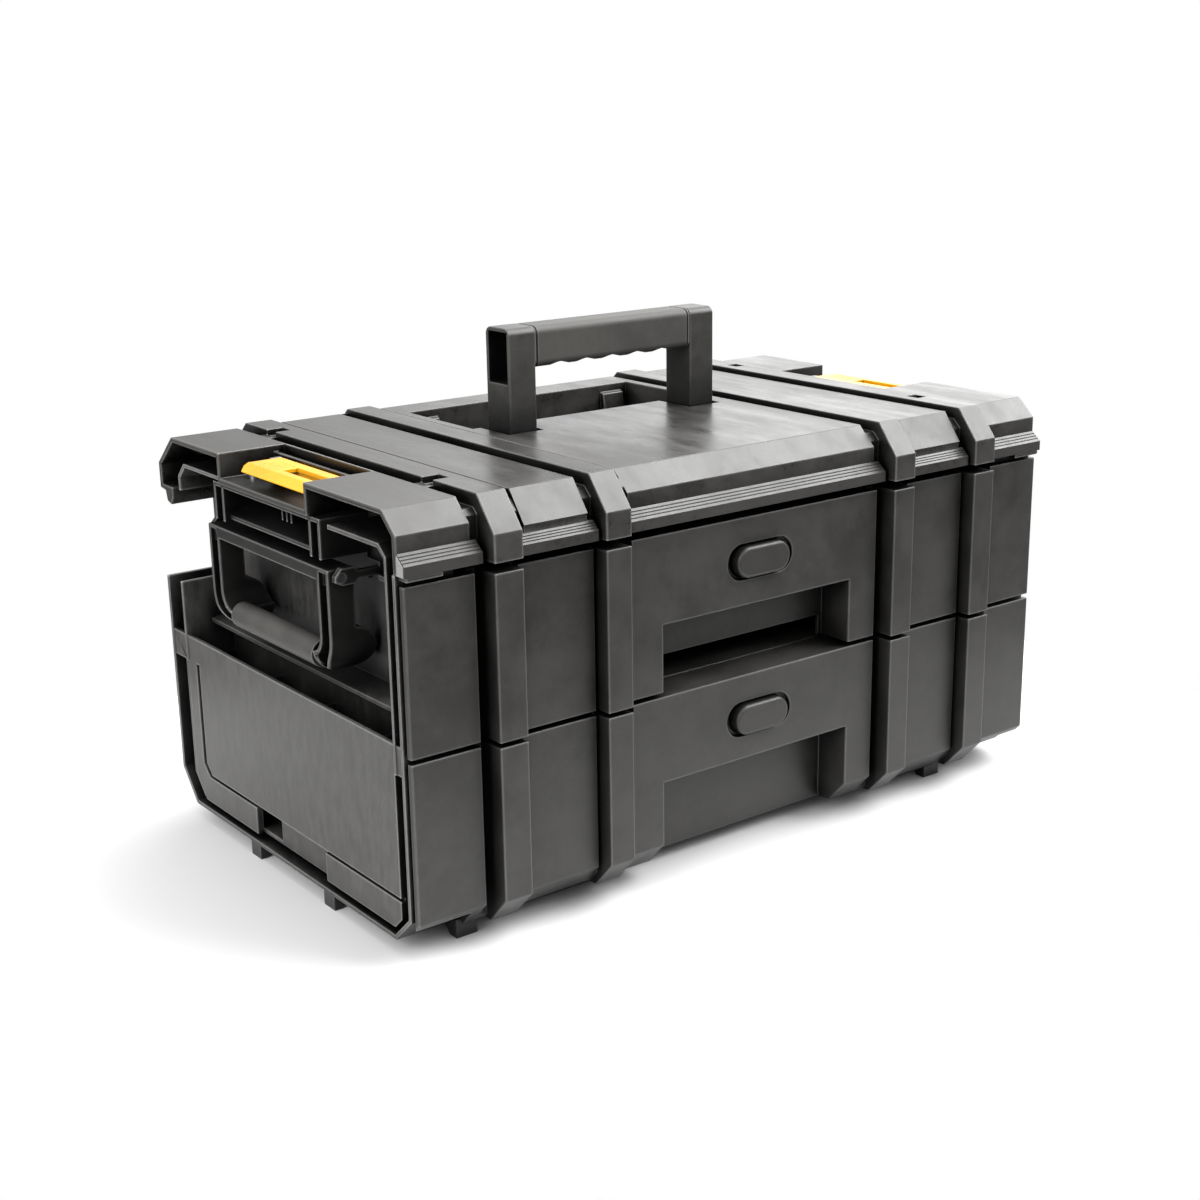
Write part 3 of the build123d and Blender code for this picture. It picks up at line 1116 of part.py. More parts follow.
def button_spring(rise):
    """The return spring round the push rod of a button."""
    start = FRONT_BACK_Y + RUNNING_FIT + BUTTON_FLANGE_DEPTH
    length = COVER_Y[0] - BUTTON_TRAVEL - start - 2 * SPRING_WIRE
    path = Helix(length / SPRING_TURNS, length, SPRING_RADIUS)
    wire = Circle(SPRING_WIRE)
    section = Plane(origin=path @ 0, z_dir=path % 0) * wire
    coil = sweep(section, path)
    return Pos(0, start + SPRING_WIRE, rise) * Rot(-90, 0, 0) * coil


def lock_bracket(rise):
    """The bracket behind a button: rod guide, side walls and lever ears."""
    cover_z = grown((rise, rise), COVER_RISE)
    bracket = block((-COVER_HALF, COVER_HALF), COVER_Y, cover_z)
    side_x = (COVER_HALF - SKIN, COVER_HALF)
    bracket += both_sides(side_x, (FRONT_BACK_Y, COVER_Y[1]), cover_z)
    ear_x = (LEVER_EAR_OUTER - SKIN, LEVER_EAR_OUTER)
    ear_y = (COVER_Y[1], LEVER_AXIS_Y + LEVER_EAR_TOP)
    ear_z = (rise + ROD_RADIUS + RUNNING_FIT, rise + LEVER_RISE + LEVER_EAR_TOP)
    bracket += both_sides(ear_x, ear_y, ear_z)
    bracket -= rod_y(0, grown(COVER_Y, OVERCUT), rise, ROD_RADIUS + RUNNING_FIT)
    pin_x = grown((-LEVER_EAR_OUTER, LEVER_EAR_OUTER), OVERCUT)
    return bracket - rod_x(pin_x, LEVER_AXIS_Y, rise + LEVER_RISE, LEVER_PIN_RADIUS)


def lever(rise):
    """The catch lever: a foot at the push rod and a hook behind the strike."""
    y = LEVER_AXIS_Y
    z = rise + LEVER_RISE
    thick = LEVER_THICKNESS
    t = thick / 2
    back = ROD_END_Y + RUNNING_FIT
    tip_y = y - HOOK_REACH
    outline = (
        (back, rise - LEVER_FOOT),
        (back, z - thick + OVERCUT),
        (tip_y, z + OVERCUT),
        (tip_y, z + HOOK_RISE),
        (tip_y + t, z + HOOK_RISE),
        (tip_y + thick, z + thick),
        (y + t, z + thick - OVERCUT),
        (y + t + OVERCUT, z - t),
        (back + thick, z - 2 * thick),
        (back + thick, rise - LEVER_FOOT),
    )
    body = along_x(outline, (-LEVER_HALF_WIDTH, LEVER_HALF_WIDTH))
    hole = grown((-LEVER_HALF_WIDTH, LEVER_HALF_WIDTH), OVERCUT)
    return body - rod_x(hole, y, z, LEVER_PIN_RADIUS + PIN_FIT)


def lever_pin(rise):
    """The pin of a catch lever."""
    reach = (-LEVER_EAR_OUTER, LEVER_EAR_OUTER)
    return rod_x(reach, LEVER_AXIS_Y, rise + LEVER_RISE, LEVER_PIN_RADIUS)


def pieces():
    """Every named piece of the chest."""
    made = {
        "top_cover": top_cover(),
        "base_floor": floor(),
        "back_panel": back_panel(),
        "middle_shelf": middle_shelf(),
        "base_screws": base_screws(),
        "lid_screws": lid_screws(),
        "top_handle_frame": top_handle_frame(),
        "top_handle_grip": top_handle_grip(),
        "top_handle_pins": top_handle_pins(),
    }
    ends = {
        "end_frame": end_frame(),
        "side_handle_bracket": handle_bracket(),
        "side_handle_bail": side_handle(),
        "side_handle_grip": side_grip(),
        "side_handle_pins": side_handle_pins(),
        "latch": latch(),
        "latch_pin": latch_pin(),
    }
    drawers = {
        "upper": (UPPER_FRONT_Z, UPPER_TRAY_Z, BUTTON_RISE_UPPER, UPPER_SLIDE_Z),
        "lower": (LOWER_FRONT_Z, LOWER_TRAY_Z, BUTTON_RISE_LOWER, LOWER_SLIDE_Z),
    }
    for level, (front_z, tray_z, rise, slide_z) in drawers.items():
        made[level + "_drawer_front"] = drawer_front(front_z, level == "lower")
        made[level + "_drawer_tray"] = tray(tray_z, front_z)
        made[level + "_front_screws"] = front_screws(front_z)
        made[level + "_button"] = button(rise)
        made[level + "_button_spring"] = button_spring(rise)
        made[level + "_lock_bracket"] = lock_bracket(rise)
        made[level + "_catch_lever"] = lever(rise)
        made[level + "_lever_pin"] = lever_pin(rise)
        members = slide_members(slide_z)
        for name, member in zip(("outer", "middle", "inner"), members):
            ends[level + "_slide_" + name] = member
    for name, piece in ends.items():
        made["left_" + name] = piece
        made["right_" + name] = other_side(piece)
    return made


os.makedirs("parts", exist_ok=True)
for node, shape in pieces().items():
    shape.label = node
    export_step(shape, "parts/" + node + ".step")
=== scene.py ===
import json
import math

import bmesh
import bpy
import numpy as np
from mathutils import Matrix, Vector


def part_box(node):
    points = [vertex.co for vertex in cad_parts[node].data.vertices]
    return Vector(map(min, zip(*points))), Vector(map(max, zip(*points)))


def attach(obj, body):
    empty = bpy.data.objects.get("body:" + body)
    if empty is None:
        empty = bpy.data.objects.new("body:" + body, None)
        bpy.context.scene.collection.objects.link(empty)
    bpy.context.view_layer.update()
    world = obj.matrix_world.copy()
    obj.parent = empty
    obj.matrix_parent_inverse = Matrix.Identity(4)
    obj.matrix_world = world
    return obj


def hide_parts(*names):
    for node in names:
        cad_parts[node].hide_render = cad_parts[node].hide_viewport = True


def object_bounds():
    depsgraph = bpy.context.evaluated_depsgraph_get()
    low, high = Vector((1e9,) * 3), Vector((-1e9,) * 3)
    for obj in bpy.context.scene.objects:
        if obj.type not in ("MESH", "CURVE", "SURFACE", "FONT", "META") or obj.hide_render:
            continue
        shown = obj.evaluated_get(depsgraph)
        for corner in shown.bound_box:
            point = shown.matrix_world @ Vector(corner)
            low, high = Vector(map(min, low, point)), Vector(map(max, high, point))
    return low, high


# Looks of the two-drawer tool chest. Metres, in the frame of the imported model.
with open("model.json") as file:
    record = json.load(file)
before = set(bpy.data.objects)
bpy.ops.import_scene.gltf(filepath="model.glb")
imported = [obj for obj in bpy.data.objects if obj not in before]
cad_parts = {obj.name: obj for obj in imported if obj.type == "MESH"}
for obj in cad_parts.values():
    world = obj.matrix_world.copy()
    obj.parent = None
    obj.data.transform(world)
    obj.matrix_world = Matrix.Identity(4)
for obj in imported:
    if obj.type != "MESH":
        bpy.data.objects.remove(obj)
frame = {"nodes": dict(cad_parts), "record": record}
cad_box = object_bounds()

MM = 0.001
SIDES = (("left", -1), ("right", 1))
BODY_OF = {node: body for body, nodes in frame["record"]["behaviour"]["bodies"].items() for node in nodes}
SLOT_OF = {entry["node"]: entry["material_slot"] for entry in frame["record"]["subparts"]}


# ------------------------------------------------------------------ materials
TONE_SPAN = (0.35, 0.65)  # the colour turns between these values of the clouds
SHEEN_SPAN = (0.3, 0.7)  # the roughness turns between these values of the clouds or streaks
EDGE_HIGHLIGHT_REACH = 1.5 * MM  # how far in from an outer edge the painted highlight reaches
EDGE_HIGHLIGHT_SPAN = (0.9, 0.5)  # the share of directions that stay inside: no painted highlight, the strongest
EDGE_HIGHLIGHT_MOST = 0.8  # how much of the edge colour, a painted highlight, shows where it is strongest
PAINTED_GROOVE_SHADE = "#020202"  # the colour at the bottom of a deep groove: painted shade, for the little light that comes out of it
STEEL_RELIEF = 0.02 * MM  # height of the streaks in rolled and drawn steel
STREAK_PULL = 0.04  # a streak in steel is 25 times as long as it is wide


def linear(code):
    """An sRGB hex colour as linear light, with alpha 1."""
    parts = [int(code[i:i + 2], 16) / 255 for i in (1, 3, 5)]
    return [c / 12.92 if c <= 0.04045 else ((c + 0.055) / 1.055) ** 2.4 for c in parts] + [1.0]


def add_node(tree, kind, inputs=None, **settings):
    """A node with its settings, whose inputs are values or the outputs of other nodes."""
    node = tree.nodes.new(kind)
    for name, value in settings.items():
        setattr(node, name, value)
    for name, value in (inputs or {}).items():
        if isinstance(value, bpy.types.NodeSocket):
            tree.links.new(value, node.inputs[name])
        else:
            node.inputs[name].default_value = value
    return node


# every moulded plastic here gets painted shade in its hollows and a painted highlight along its outer edges
def moulded_plastic(name, dark, light, roughness, grain_mm, grain_depth_mm, cloud_mm=45.0, streak=(1, 1, 1),
                    recess_mm=24.0, edge="#8d8c8a", openings=(0.46, 0.86), ior=1.49):
    """A moulded plastic: two near colours in clouds, a sheen that varies, and a fine grain.

    The clouds are noise cloud_mm wide, stretched by streak along X, Y and Z, and the
    grain is noise of grain_mm that lifts the surface by grain_depth_mm. Openness is the
    share of directions that are free within recess_mm: between the two openings the
    colour falls to black, a painted shade for the little light that comes out of a deep
    groove. Along an outer edge the colour turns to the edge colour, a painted highlight,
    where more than a tenth of the directions into the piece leave it within the reach of
    the highlight. The index of refraction is the plastic's own.
    """
    material = bpy.data.materials.new(name)
    material.use_nodes = True
    tree = material.node_tree
    shader = tree.nodes["Principled BSDF"]
    place = add_node(tree, "ShaderNodeTexCoord").outputs["Object"]
    scale = [1 / amount for amount in streak]
    stretched = add_node(tree, "ShaderNodeMapping", {"Vector": place, "Scale": scale}).outputs["Vector"]
    cloud = add_node(
        tree, "ShaderNodeTexNoise",
        {"Vector": stretched, "Scale": 1 / (cloud_mm * MM), "Detail": 8.0, "Roughness": 0.74},
    ).outputs["Fac"]
    within = add_node(
        tree, "ShaderNodeAmbientOcclusion", {"Distance": EDGE_HIGHLIGHT_REACH}, samples=4, inside=True
    ).outputs["AO"]
    # painted shade: how open the surface is darkens grooves, recesses and joins between parts
    openness = add_node(
        tree, "ShaderNodeAmbientOcclusion", {"Distance": recess_mm * MM}, samples=6
    ).outputs["AO"]

    turned = {}
    for use, value, span, reach in (
        ("tone", cloud, TONE_SPAN, (0.0, 1.0)),
        ("sheen", cloud, SHEEN_SPAN, roughness),
        ("painted_highlight", within, EDGE_HIGHLIGHT_SPAN, (0.0, EDGE_HIGHLIGHT_MOST)),
        ("open", openness, openings, (0.0, 1.0)),
    ):
        turned[use] = add_node(
            tree, "ShaderNodeMapRange",
            {"Value": value, "From Min": span[0], "From Max": span[1],
             "To Min": reach[0], "To Max": reach[1]},
            interpolation_type="SMOOTHSTEP",
        ).outputs["Result"]
    clouded = add_node(
        tree, "ShaderNodeMix",
        {"Factor": turned["tone"], "A": linear(dark), "B": linear(light)}, data_type="RGBA",
    ).outputs["Result"]
    # painted highlight: the lighter edge colour laid along outer edges
    highlit = add_node(
        tree, "ShaderNodeMix",
        {"Factor": turned["painted_highlight"], "A": clouded, "B": linear(edge)}, data_type="RGBA",
    ).outputs["Result"]
    # painted shade: the colour falls to black where the surface is shut in
    shaded = add_node(
        tree, "ShaderNodeMix",
        {"Factor": turned["open"], "A": linear(PAINTED_GROOVE_SHADE), "B": highlit}, data_type="RGBA",
    ).outputs["Result"]
    grain = add_node(
        tree, "ShaderNodeTexNoise", {"Vector": place, "Scale": 1 / (grain_mm * MM), "Detail": 2.0}
    ).outputs["Fac"]
    bump = add_node(
        tree, "ShaderNodeBump", {"Height": grain, "Strength": 1.0, "Distance": grain_depth_mm * MM}
    )
    shader.inputs["IOR"].default_value = ior
    tree.links.new(shaded, shader.inputs["Base Color"])
    tree.links.new(turned["sheen"], shader.inputs["Roughness"])
    tree.links.new(bump.outputs["Normal"], shader.inputs["Normal"])
    return material


def drawn_steel(name, dark, light, roughness, streak_mm, axis):
    """Rolled, turned or drawn steel: a cool metal with fine streaks along one axis.

    The streaks are noise streak_mm wide and 25 times as long. They set the colour
    between dark and light, the roughness between its two values, and the relief.
    """
    material = bpy.data.materials.new(name)
    material.use_nodes = True
    tree = material.node_tree
    shader = tree.nodes["Principled BSDF"]
    place = add_node(tree, "ShaderNodeTexCoord").outputs["Object"]
    scale = [STREAK_PULL if i == axis else 1.0 for i in range(3)]
    stretched = add_node(tree, "ShaderNodeMapping", {"Vector": place, "Scale": scale}).outputs["Vector"]
    streaks = add_node(
        tree, "ShaderNodeTexNoise",
        {"Vector": stretched, "Scale": 1 / (streak_mm * MM), "Detail": 3.0},
    ).outputs["Fac"]
    colour = add_node(
        tree, "ShaderNodeMix",
        {"Factor": streaks, "A": linear(dark), "B": linear(light)}, data_type="RGBA",
    )
    sheen = add_node(
        tree, "ShaderNodeMapRange",
        {"Value": streaks, "From Min": SHEEN_SPAN[0], "From Max": SHEEN_SPAN[1],
         "To Min": roughness[0], "To Max": roughness[1]},
    )
    bump = add_node(
        tree, "ShaderNodeBump", {"Height": streaks, "Strength": 1.0, "Distance": STEEL_RELIEF}
    )
    tree.links.new(colour.outputs["Result"], shader.inputs["Base Color"])
    tree.links.new(sheen.outputs["Result"], shader.inputs["Roughness"])
    tree.links.new(bump.outputs["Normal"], shader.inputs["Normal"])
    shader.inputs["Metallic"].default_value = 1.0
    return material


# structural foam-grade polypropylene, spark-eroded mould: charcoal with a soft broken sheen
housing_plastic = moulded_plastic(
    "textured_polypropylene", "#2a2927", "#383735", roughness=(0.35, 0.51),
    grain_mm=1.3, grain_depth_mm=0.03, recess_mm=28.0, openings=(0.5, 0.9))
# the lid, from the same plastic: smoother on its flats, with wipe marks from front to rear, and a light
# painted highlight along its edges
lid_plastic = moulded_plastic(
    "smooth_topped_polypropylene", "#2c2b29", "#3e3d3b", roughness=(0.24, 0.42),
    grain_mm=1.3, grain_depth_mm=0.02, cloud_mm=26.0, streak=(1, 4, 1), recess_mm=28.0,
    edge="#a8a7a4", openings=(0.52, 0.92))
# the ledge and slopes along the front of the lid: the lid's plastic, its edge colour near its own so that
# no painted highlight shows, with lighter painted shade
lip_plastic = moulded_plastic(
    "fine_lined_polypropylene", "#2c2b29", "#3e3d3b", roughness=(0.24, 0.42),
    grain_mm=1.3, grain_depth_mm=0.02, cloud_mm=26.0, streak=(1, 4, 1), recess_mm=28.0,
    edge="#3b3a38", openings=(0.35, 0.85))
# the ends, from a plainer mould, drawn along the flow of the melt: upright streaks, and a bright painted
# highlight along the edges
plate_plastic = moulded_plastic(
    "flow_streaked_polypropylene", "#3a3937", "#525150", roughness=(0.36, 0.50),
    grain_mm=1.3, grain_depth_mm=0.025, cloud_mm=7.0, streak=(1, 1, 3), recess_mm=42.0,
    edge="#b8b7b4")
# the brackets and bails of the ends: the charcoal plastic painted darker than the housing as shade of the
# end recesses, with a bright painted highlight along their edges
channel_plastic = moulded_plastic(
    "recess_shaded_polypropylene", "#1b1a19", "#262524", roughness=(0.36, 0.5),
    grain_mm=1.3, grain_depth_mm=0.02, cloud_mm=25.0, recess_mm=42.0,
    edge="#b8b7b4", openings=(0.5, 0.9))
# the frame of the top handle, from a plain mould: even charcoal, with painted shade where it meets the lid
frame_plastic = moulded_plastic(
    "plain_polypropylene", "#333230", "#42413f", roughness=(0.36, 0.5),
    grain_mm=1.3, grain_depth_mm=0.02, cloud_mm=25.0, recess_mm=42.0, openings=(0.58, 0.94))
# unpainted recycled polypropylene of the trays: duller than the housing
tray_plastic = moulded_plastic(
    "smooth_polypropylene", "#2b2a29", "#363534", roughness=(0.5, 0.62),
    grain_mm=1.6, grain_depth_mm=0.02)
# acetal of the buttons: denser than the panels round them, with a finer grain
button_plastic = moulded_plastic(
    "satin_acetal", "#2c2b29", "#353432", roughness=(0.38, 0.48),
    grain_mm=1.0, grain_depth_mm=0.02, ior=1.48)
# thermoplastic elastomer of the grips: soft, deep and dull
grip_rubber = moulded_plastic(
    "thermoplastic_elastomer", "#42413f", "#4f4e4b", roughness=(0.5, 0.62),
    grain_mm=0.9, grain_depth_mm=0.04, recess_mm=42.0, ior=1.5)
# ABS of the latches: a warm saturated yellow with a satin gloss, and a paler painted highlight along the
# edges
latch_plastic = moulded_plastic(
    "satin_yellow_abs", "#e69c00", "#f0ae08", roughness=(0.26, 0.34),
    grain_mm=1.4, grain_depth_mm=0.01, recess_mm=4.0, edge="#f2c233", ior=1.54)
# rolled steel of the slides, zinc plated: bright, cool and streaked along the travel
slide_steel = drawn_steel(
    "zinc_plated_rolled_steel", "#9b9ea3", "#c3c6c9", roughness=(0.28, 0.42), streak_mm=0.5, axis=1)
# turned and plated pins and screws: a shade darker than the slides
fastener_steel = drawn_steel(
    "zinc_plated_turned_steel", "#8d9095", "#b4b6b9", roughness=(0.3, 0.45), streak_mm=0.4, axis=0)
# drawn wire of the springs: bare steel with a slight gloss
spring_steel = drawn_steel(
    "drawn_spring_wire", "#8f8f90", "#bcbcbd", roughness=(0.25, 0.4), streak_mm=0.3, axis=1)

MATERIAL_OF = {
    "black_plastic": housing_plastic,
    "tray_plastic": tray_plastic,
    "button_plastic": button_plastic,
    "grip_rubber": grip_rubber,
    "yellow_plastic": latch_plastic,
    "slide_steel": slide_steel,
    "fastener_steel": fastener_steel,
    "spring_steel": spring_steel,
}


# ----------------------------------------------------- rounded moulded pieces
MERGE_DISTANCE = 0.01 * MM  # corners of triangles closer than this are one corner
FLAT_TURN = math.radians(0.4)  # faces that turn by less than this are one flat face
EDGE_TURN = math.radians(28.0)  # edges that turn by more than this are rounded
ROUND_STEPS = 2  # facets across each round
FLAT_WEIGHT = 80  # how far the normals lean to the larger faces, of 100

# the radius in millimetres that each moulded piece has along its edges
EDGE_RADIUS = {
    "top_cover": 0.7, "upper_drawer_front": 0.7, "lower_drawer_front": 0.7,
    "top_handle_frame": 0.9, "top_handle_grip": 0.4,
    "upper_button": 0.3, "lower_button": 0.3,
    "upper_drawer_tray": 0.5, "lower_drawer_tray": 0.5,
    "base_floor": 0.6, "back_panel": 0.6, "middle_shelf": 0.5,
}
# the nodes that differ from the finish of their slot
FINISH = {"top_cover": lid_plastic, "top_handle_frame": frame_plastic}
for side, _ in SIDES:
    EDGE_RADIUS[side + "_end_frame"] = 0.5
    EDGE_RADIUS[side + "_side_handle_bracket"] = 0.4
    EDGE_RADIUS[side + "_side_handle_bail"] = 0.6
    EDGE_RADIUS[side + "_side_handle_grip"] = 0.5
    EDGE_RADIUS[side + "_latch"] = 0.5
    FINISH[side + "_end_frame"] = plate_plastic
    FINISH[side + "_side_handle_bracket"] = channel_plastic
    FINISH[side + "_side_handle_bail"] = channel_plastic


def softened(node, radius_mm):
    """The CAD piece with its sharp edges rounded to a moulded radius.

    The triangles are merged and flat neighbours joined, then every edge that turns by
    more than the limit gets a round. The normals lean to the larger faces, so that the
    flats stay flat and only the rounds shade from one to the next.
    """
    mesh = frame["nodes"][node].data.copy()
    shape = bmesh.new()
    shape.from_mesh(mesh)
    bmesh.ops.remove_doubles(shape, verts=shape.verts, dist=MERGE_DISTANCE)
    bmesh.ops.dissolve_limit(
        shape, angle_limit=FLAT_TURN, verts=shape.verts, edges=shape.edges, delimit={"NORMAL"}
    )
    for face in shape.faces:
        face.smooth = True
    shape.to_mesh(mesh)
    shape.free()
    mesh.materials.clear()
    mesh.materials.append(FINISH.get(node, MATERIAL_OF[SLOT_OF[node]]))
    piece = bpy.data.objects.new("soft_" + node, mesh)
    bpy.context.scene.collection.objects.link(piece)
    rounds = piece.modifiers.new("mould_radius", "BEVEL")
    rounds.width = radius_mm * MM
    rounds.segments = ROUND_STEPS
    rounds.limit_method = "ANGLE"
    rounds.angle_limit = EDGE_TURN
    rounds.use_clamp_overlap = False
    flats = piece.modifiers.new("flat_faces", "WEIGHTED_NORMAL")
    flats.mode = "FACE_AREA"
    flats.weight = FLAT_WEIGHT
    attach(piece, BODY_OF[node])
    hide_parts(node)


for node, radius in EDGE_RADIUS.items():
    softened(node, radius)


# ------------------------------------------------- details added to the solids
# the ledge of the lip: how far back its foot and its top lie behind the front of the
# ribs, how far down both lie below the top of the ribs, and the depth of the lip's end
LIP_RUN = (6.3, 13.8)
LIP_FALL = (32.6, 26.3)
BAY_LIP_RUN = (4.5, 9.8)
BAY_LIP_FALL = (32.9, 27.5)
LIP_DEPTH = 39.4
# the grooves along the ledge: where, as shares of it, half their width, and their depth
GROOVES_AT = (0.25, 0.5, 0.75)
GROOVE_HALF = 0.05
GROOVE_SINK = 0.21  # back and down alike, which is 0.3 mm across the ledge
# the corners of the slope of a bay: back from the front of the ribs, down from their top
BAY_SLOPE_RUN = (9.25, 12.0, 26.5, 24.0)
BAY_SLOPE_FALL = (22.3, 22.3, 2.45, 2.45)
# the parts of the lid between its ribs and grooves, from the middle
MIDDLE_X = (-112.0, 112.0)
BAY_X = (137.6, 193.9)
BAY_SLOPE_X = (142.2, 189.3)
END_X = (221.0, 274.4)
# the inner skin at the rear of each end: its rear and front in from the rear of the end
# frame, its top above the frame, its height, thickness and slope, and how far its edges
# are set in from the end of the chest and from the inner face of the end frame
SKIN_REAR = 28.0
SKIN_FRONT = 96.0
SKIN_RISE = 4.0
SKIN_HEIGHT = 20.0
SKIN_THICK = 2.4
SKIN_SLOPE = 10.0
SKIN_END_SET = 2.5
SKIN_WALL_SET = 1.0


def drawn_out(name, outline, limits, node, material):
    """A solid with the outline given, drawn out along X between two limits.

    The outline is an array of y and z in metres. Point (i, j) is its j-th corner at the
    i-th limit, each side joins a corner to the next at both limits, and the outline
    itself closes the two ends. It runs from +Y round to +Z, so that all faces look out.
    """
    count = len(outline)
    points = np.empty((2, count, 3))
    points[:, :, 0] = np.sort(limits)[:, None]
    points[:, :, 1:] = outline
    here = np.arange(count)
    following = (here + 1) % count
    sides = np.stack([here, following, following + count, here + count], axis=1)
    faces = sides.tolist() + [here[::-1].tolist(), (here + count).tolist()]
    mesh = bpy.data.meshes.new(name)
    mesh.from_pydata(points.reshape(-1, 3).tolist(), [], faces)
    mesh.materials.append(material)
    piece = bpy.data.objects.new(name, mesh)
    bpy.context.scene.collection.objects.link(piece)
    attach(piece, BODY_OF[node])


def on_lid(back, down):
    """Points of the lid's section, in mm behind the front and below the top of its ribs."""
    low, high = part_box("top_cover")
    return np.stack([low[1] + np.array(back) * MM, high[2] - np.array(down) * MM], axis=1)


def grooved_lip(name, x_mm, run, fall):
    """The ledge of the lid's lip between two places along X, with fine grooves along it.

    At a share t of the ledge it lies run[0] + (run[1] - run[0]) t behind the ribs and
    fall[0] + (fall[1] - fall[0]) t below them. Each groove is a V, sunk at its middle.
    """
    steps = [place + shift for place in GROOVES_AT for shift in (-GROOVE_HALF, 0.0, GROOVE_HALF)]
    t = np.array([0.0] + steps + [1.0])[::-1]
    sunk = np.where(np.isin(t, GROOVES_AT), GROOVE_SINK, 0.0)
    back = run[0] + (run[1] - run[0]) * t + sunk
    down = fall[0] + (fall[1] - fall[0]) * t + sunk
    outline = on_lid([*run, *back], [LIP_DEPTH, LIP_DEPTH, *down])
    drawn_out(name, outline, np.array(x_mm) * MM, "top_cover", lip_plastic)


def bay_face(name, x_mm):
    """The even slope over the front of a bay of the lid, 0.6 mm proud of the solid.

    Its section is a thin parallelogram that rises to the rear, drawn out along X.
    """
    outline = on_lid(BAY_SLOPE_RUN, BAY_SLOPE_FALL)
    drawn_out(name, outline, np.array(x_mm) * MM, "top_cover", lip_plastic)


def rear_skin(side, sign):
    """The inner skin that stands up into the rear end of the lid and turns forward.

    Its section is an upright, a slope of equal run and rise, and a level part, all of
    one thickness, drawn out along X from the end of the chest to its side wall.
    """
    low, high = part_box(side + "_end_frame")
    end, wall = (low[0], high[0]) if sign < 0 else (high[0], low[0])
    rear, front = high[1] - SKIN_REAR * MM, high[1] - SKIN_FRONT * MM
    top = high[2] + SKIN_RISE * MM
    foot = top - SKIN_HEIGHT * MM
    thick, slope = SKIN_THICK * MM, SKIN_SLOPE * MM
    outline = np.array([
        (rear, foot), (rear, top - slope), (rear - slope, top), (front, top),
        (front, top - thick), (rear - slope - thick / 2, top - thick),
        (rear - thick, top - slope - thick / 2), (rear - thick, foot),
    ])
    limits = (end - sign * SKIN_END_SET * MM, wall + sign * SKIN_WALL_SET * MM)
    drawn_out(side + "_rear_skin", outline, limits, side + "_end_frame", plate_plastic)


grooved_lip("lip_of_middle", MIDDLE_X, LIP_RUN, LIP_FALL)
for side, sign in SIDES:
    grooved_lip("lip_of_" + side + "_bay", [sign * x for x in BAY_X], BAY_LIP_RUN, BAY_LIP_FALL)
    grooved_lip("lip_of_" + side + "_end", [sign * x for x in END_X], LIP_RUN, LIP_FALL)
    bay_face(side + "_bay_face", [sign * x for x in BAY_SLOPE_X])
for side, sign in SIDES:
    rear_skin(side, sign)

for node, cad in frame["nodes"].items():
    if node not in EDGE_RADIUS:
        cad.data.materials.clear()
        cad.data.materials.append(MATERIAL_OF[SLOT_OF[node]])


# ------------------------------------------------------------------ the stage
FLOOR_REACH = 0.24  # how far the floor goes on past the chest
ROOM_HEIGHTS = (0.05, 0.8)  # the room's light climbs between these heights
ROOM_LIGHT = (0.3, 1.1)  # its strength at the lower and at the upper height
# the cards of the studio: angles in degrees from +Y towards +X and heights as sines of the
# elevation, each a soft start, a full start, a full end and a soft end; then the strength
CARDS = (
    ((18, 54, 80, 100), (-0.05, 0.02, 0.6, 0.85), 2.7),  # behind, for the flats of the lid
    ((80, 98, 140, 158), (0.42, 0.56, 0.84, 0.94), 10.0),  # front right, for its slopes
)
# the camera of the main view: place in metres, turns in degrees, lens and sensor in mm
CAMERA_PLACE = (-0.77822, -1.01154, 0.51886)
CAMERA_AZIMUTH = 37.07
CAMERA_ELEVATION = 16.28
CAMERA_ROLL = -0.92
CAMERA_LENS = 54.09
CAMERA_SENSOR = 36.0


def studio_floor():
    """A plain pale sheet under the chest, wider than it by the same reach all round."""
    low, high = cad_box
    west, south = low[0] - FLOOR_REACH, low[1] - FLOOR_REACH
    east, north = high[0] + FLOOR_REACH, high[1] + FLOOR_REACH
    corners = [(west, south, 0), (east, south, 0), (east, north, 0), (west, north, 0)]
    mesh = bpy.data.meshes.new("studio_floor")
    mesh.from_pydata(corners, [], [(0, 1, 2, 3)])
    floor = bpy.data.objects.new("studio_floor", mesh)
    bpy.context.scene.collection.objects.link(floor)
    # matt card: pale, with no highlight of its own
    card = bpy.data.materials.new("matt_white_card")
    card.use_nodes = True
    shader = card.node_tree.nodes["Principled BSDF"]
    shader.inputs["Base Color"].default_value = linear("#dedede")
    shader.inputs["Roughness"].default_value = 0.9
    mesh.materials.append(card)


def soft_light(name, place, target, size, power):
    """A large square lamp that faces a point."""
    lamp = bpy.data.lights.new(name, "AREA")
    lamp.shape = "SQUARE"
    lamp.size = size
    lamp.energy = power
    lit = bpy.data.objects.new(name, lamp)
    lit.location = place
    lit.rotation_euler = (Vector(target) - Vector(place)).to_track_quat("-Z", "Y").to_euler()
    bpy.context.scene.collection.objects.link(lit)


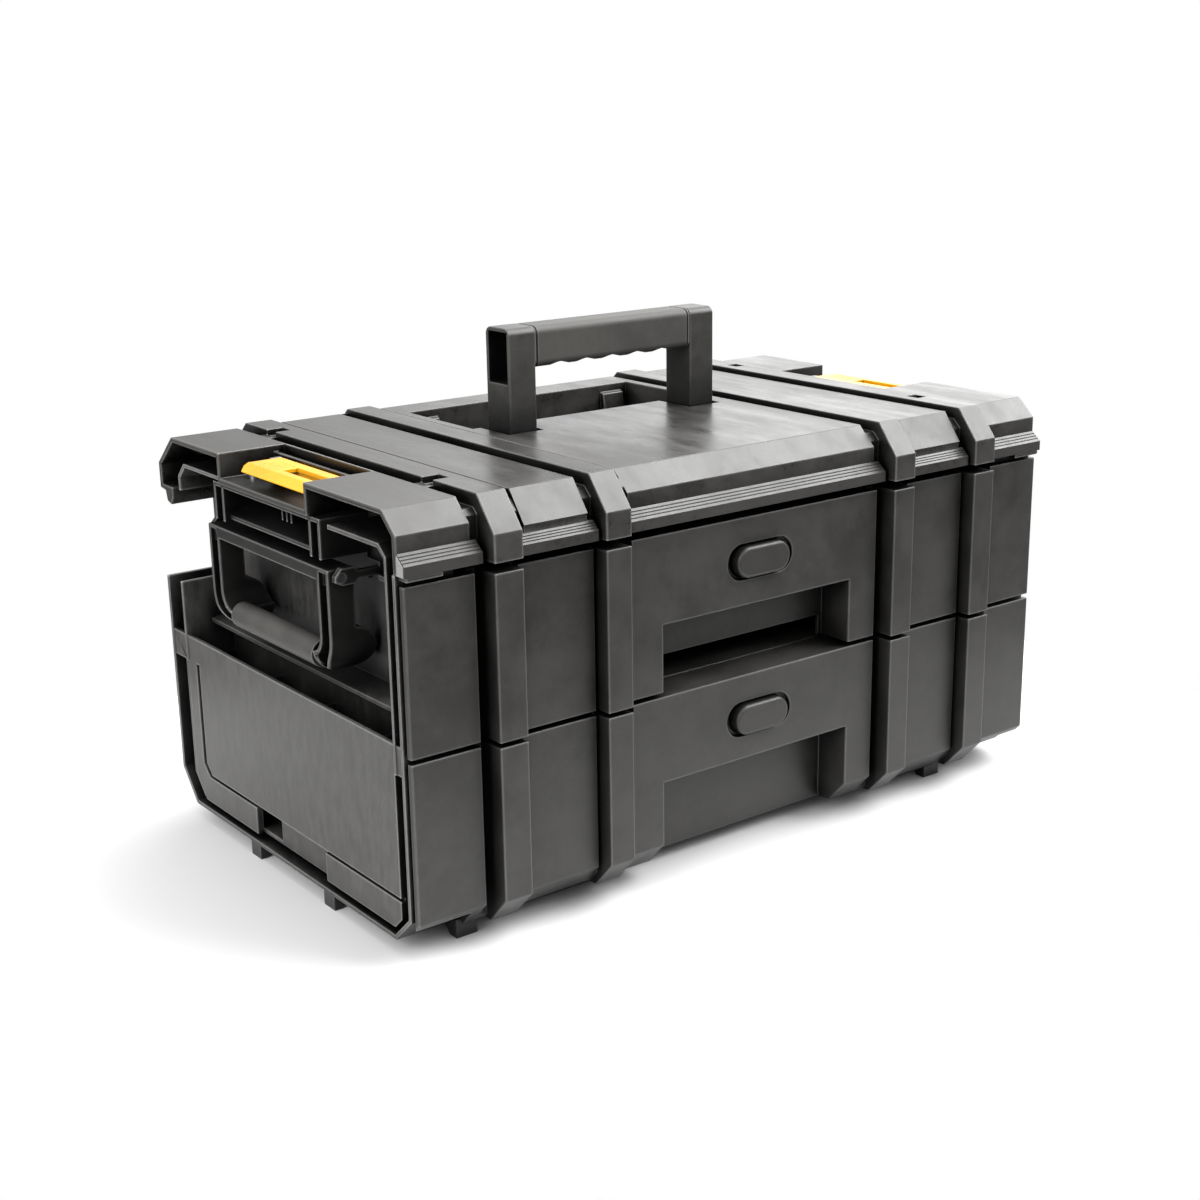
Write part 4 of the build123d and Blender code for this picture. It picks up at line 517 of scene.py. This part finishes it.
def studio_world():
    """A studio of white cards in a dim room, behind a plain white background.

    The light from a direction is the room's, which climbs smoothly with the height, plus
    that of each card: its strength times a smooth step at each of its four soft edges.
    """
    world = bpy.data.worlds.new("studio_cards")
    world.use_nodes = True
    tree = world.node_tree
    way = add_node(tree, "ShaderNodeTexCoord").outputs["Generated"]
    x, y, height = add_node(tree, "ShaderNodeSeparateXYZ", {"Vector": way}).outputs
    angle = add_node(tree, "ShaderNodeMath", {0: x, 1: y}, operation="ARCTAN2").outputs[0]
    light = add_node(
        tree, "ShaderNodeMapRange",
        {"Value": height, "From Min": ROOM_HEIGHTS[0], "From Max": ROOM_HEIGHTS[1],
         "To Min": ROOM_LIGHT[0], "To Max": ROOM_LIGHT[1]},
        interpolation_type="SMOOTHSTEP",
    ).outputs["Result"]
    for angles, heights, strength in CARDS:
        card = strength
        for value, edges in ((angle, [math.radians(a) for a in angles]), (height, heights)):
            rise, fall = (*edges[:2], 0.0, 1.0), (*edges[2:], 1.0, 0.0)
            for start, end, low, high in (rise, fall):
                step = add_node(
                    tree, "ShaderNodeMapRange",
                    {"Value": value, "From Min": start, "From Max": end, "To Min": low, "To Max": high},
                    interpolation_type="SMOOTHSTEP",
                ).outputs["Result"]
                card = add_node(
                    tree, "ShaderNodeMath", {0: step, 1: card}, operation="MULTIPLY"
                ).outputs[0]
        light = add_node(tree, "ShaderNodeMath", {0: light, 1: card}, operation="ADD").outputs[0]
    seen = add_node(tree, "ShaderNodeLightPath").outputs["Is Camera Ray"]
    shown = add_node(tree, "ShaderNodeMix", {"Factor": seen, "A": light, "B": 1.0}, data_type="FLOAT")
    background = tree.nodes["Background"]
    background.inputs["Color"].default_value = linear("#ffffff")
    tree.links.new(shown.outputs["Result"], background.inputs["Strength"])
    bpy.context.scene.world = world


def studio_camera():
    """The camera of the main view, turned round, tipped down and rolled by its angles."""
    azimuth, elevation, roll = (math.radians(a) for a in (CAMERA_AZIMUTH, CAMERA_ELEVATION, CAMERA_ROLL))
    forward = Vector((
        math.sin(azimuth) * math.cos(elevation),
        math.cos(azimuth) * math.cos(elevation),
        -math.sin(elevation),
    ))
    level = forward.cross(Vector((0, 0, 1))).normalized()
    upright = level.cross(forward)
    right = math.cos(roll) * level + math.sin(roll) * upright
    up = -math.sin(roll) * level + math.cos(roll) * upright
    turn = Matrix((right, up, -forward)).transposed()
    lens = bpy.data.cameras.new("studio_camera")
    lens.lens = CAMERA_LENS
    lens.sensor_width = CAMERA_SENSOR
    camera = bpy.data.objects.new("studio_camera", lens)
    camera.matrix_world = Matrix.Translation(CAMERA_PLACE) @ turn.to_4x4()
    bpy.context.scene.collection.objects.link(camera)
    bpy.context.scene.camera = camera


studio_floor()
studio_world()
soft_light("left_softbox", place=(-2.2, -0.4, 1.2), target=(0, 0, 0.15), size=1.4, power=38)
soft_light("top_softbox", place=(0.2, 0.5, 2.4), target=(0, 0, 0.2), size=1.8, power=14)
studio_camera()

bpy.context.scene.view_settings.view_transform = "Standard"
bpy.context.view_layer.update()
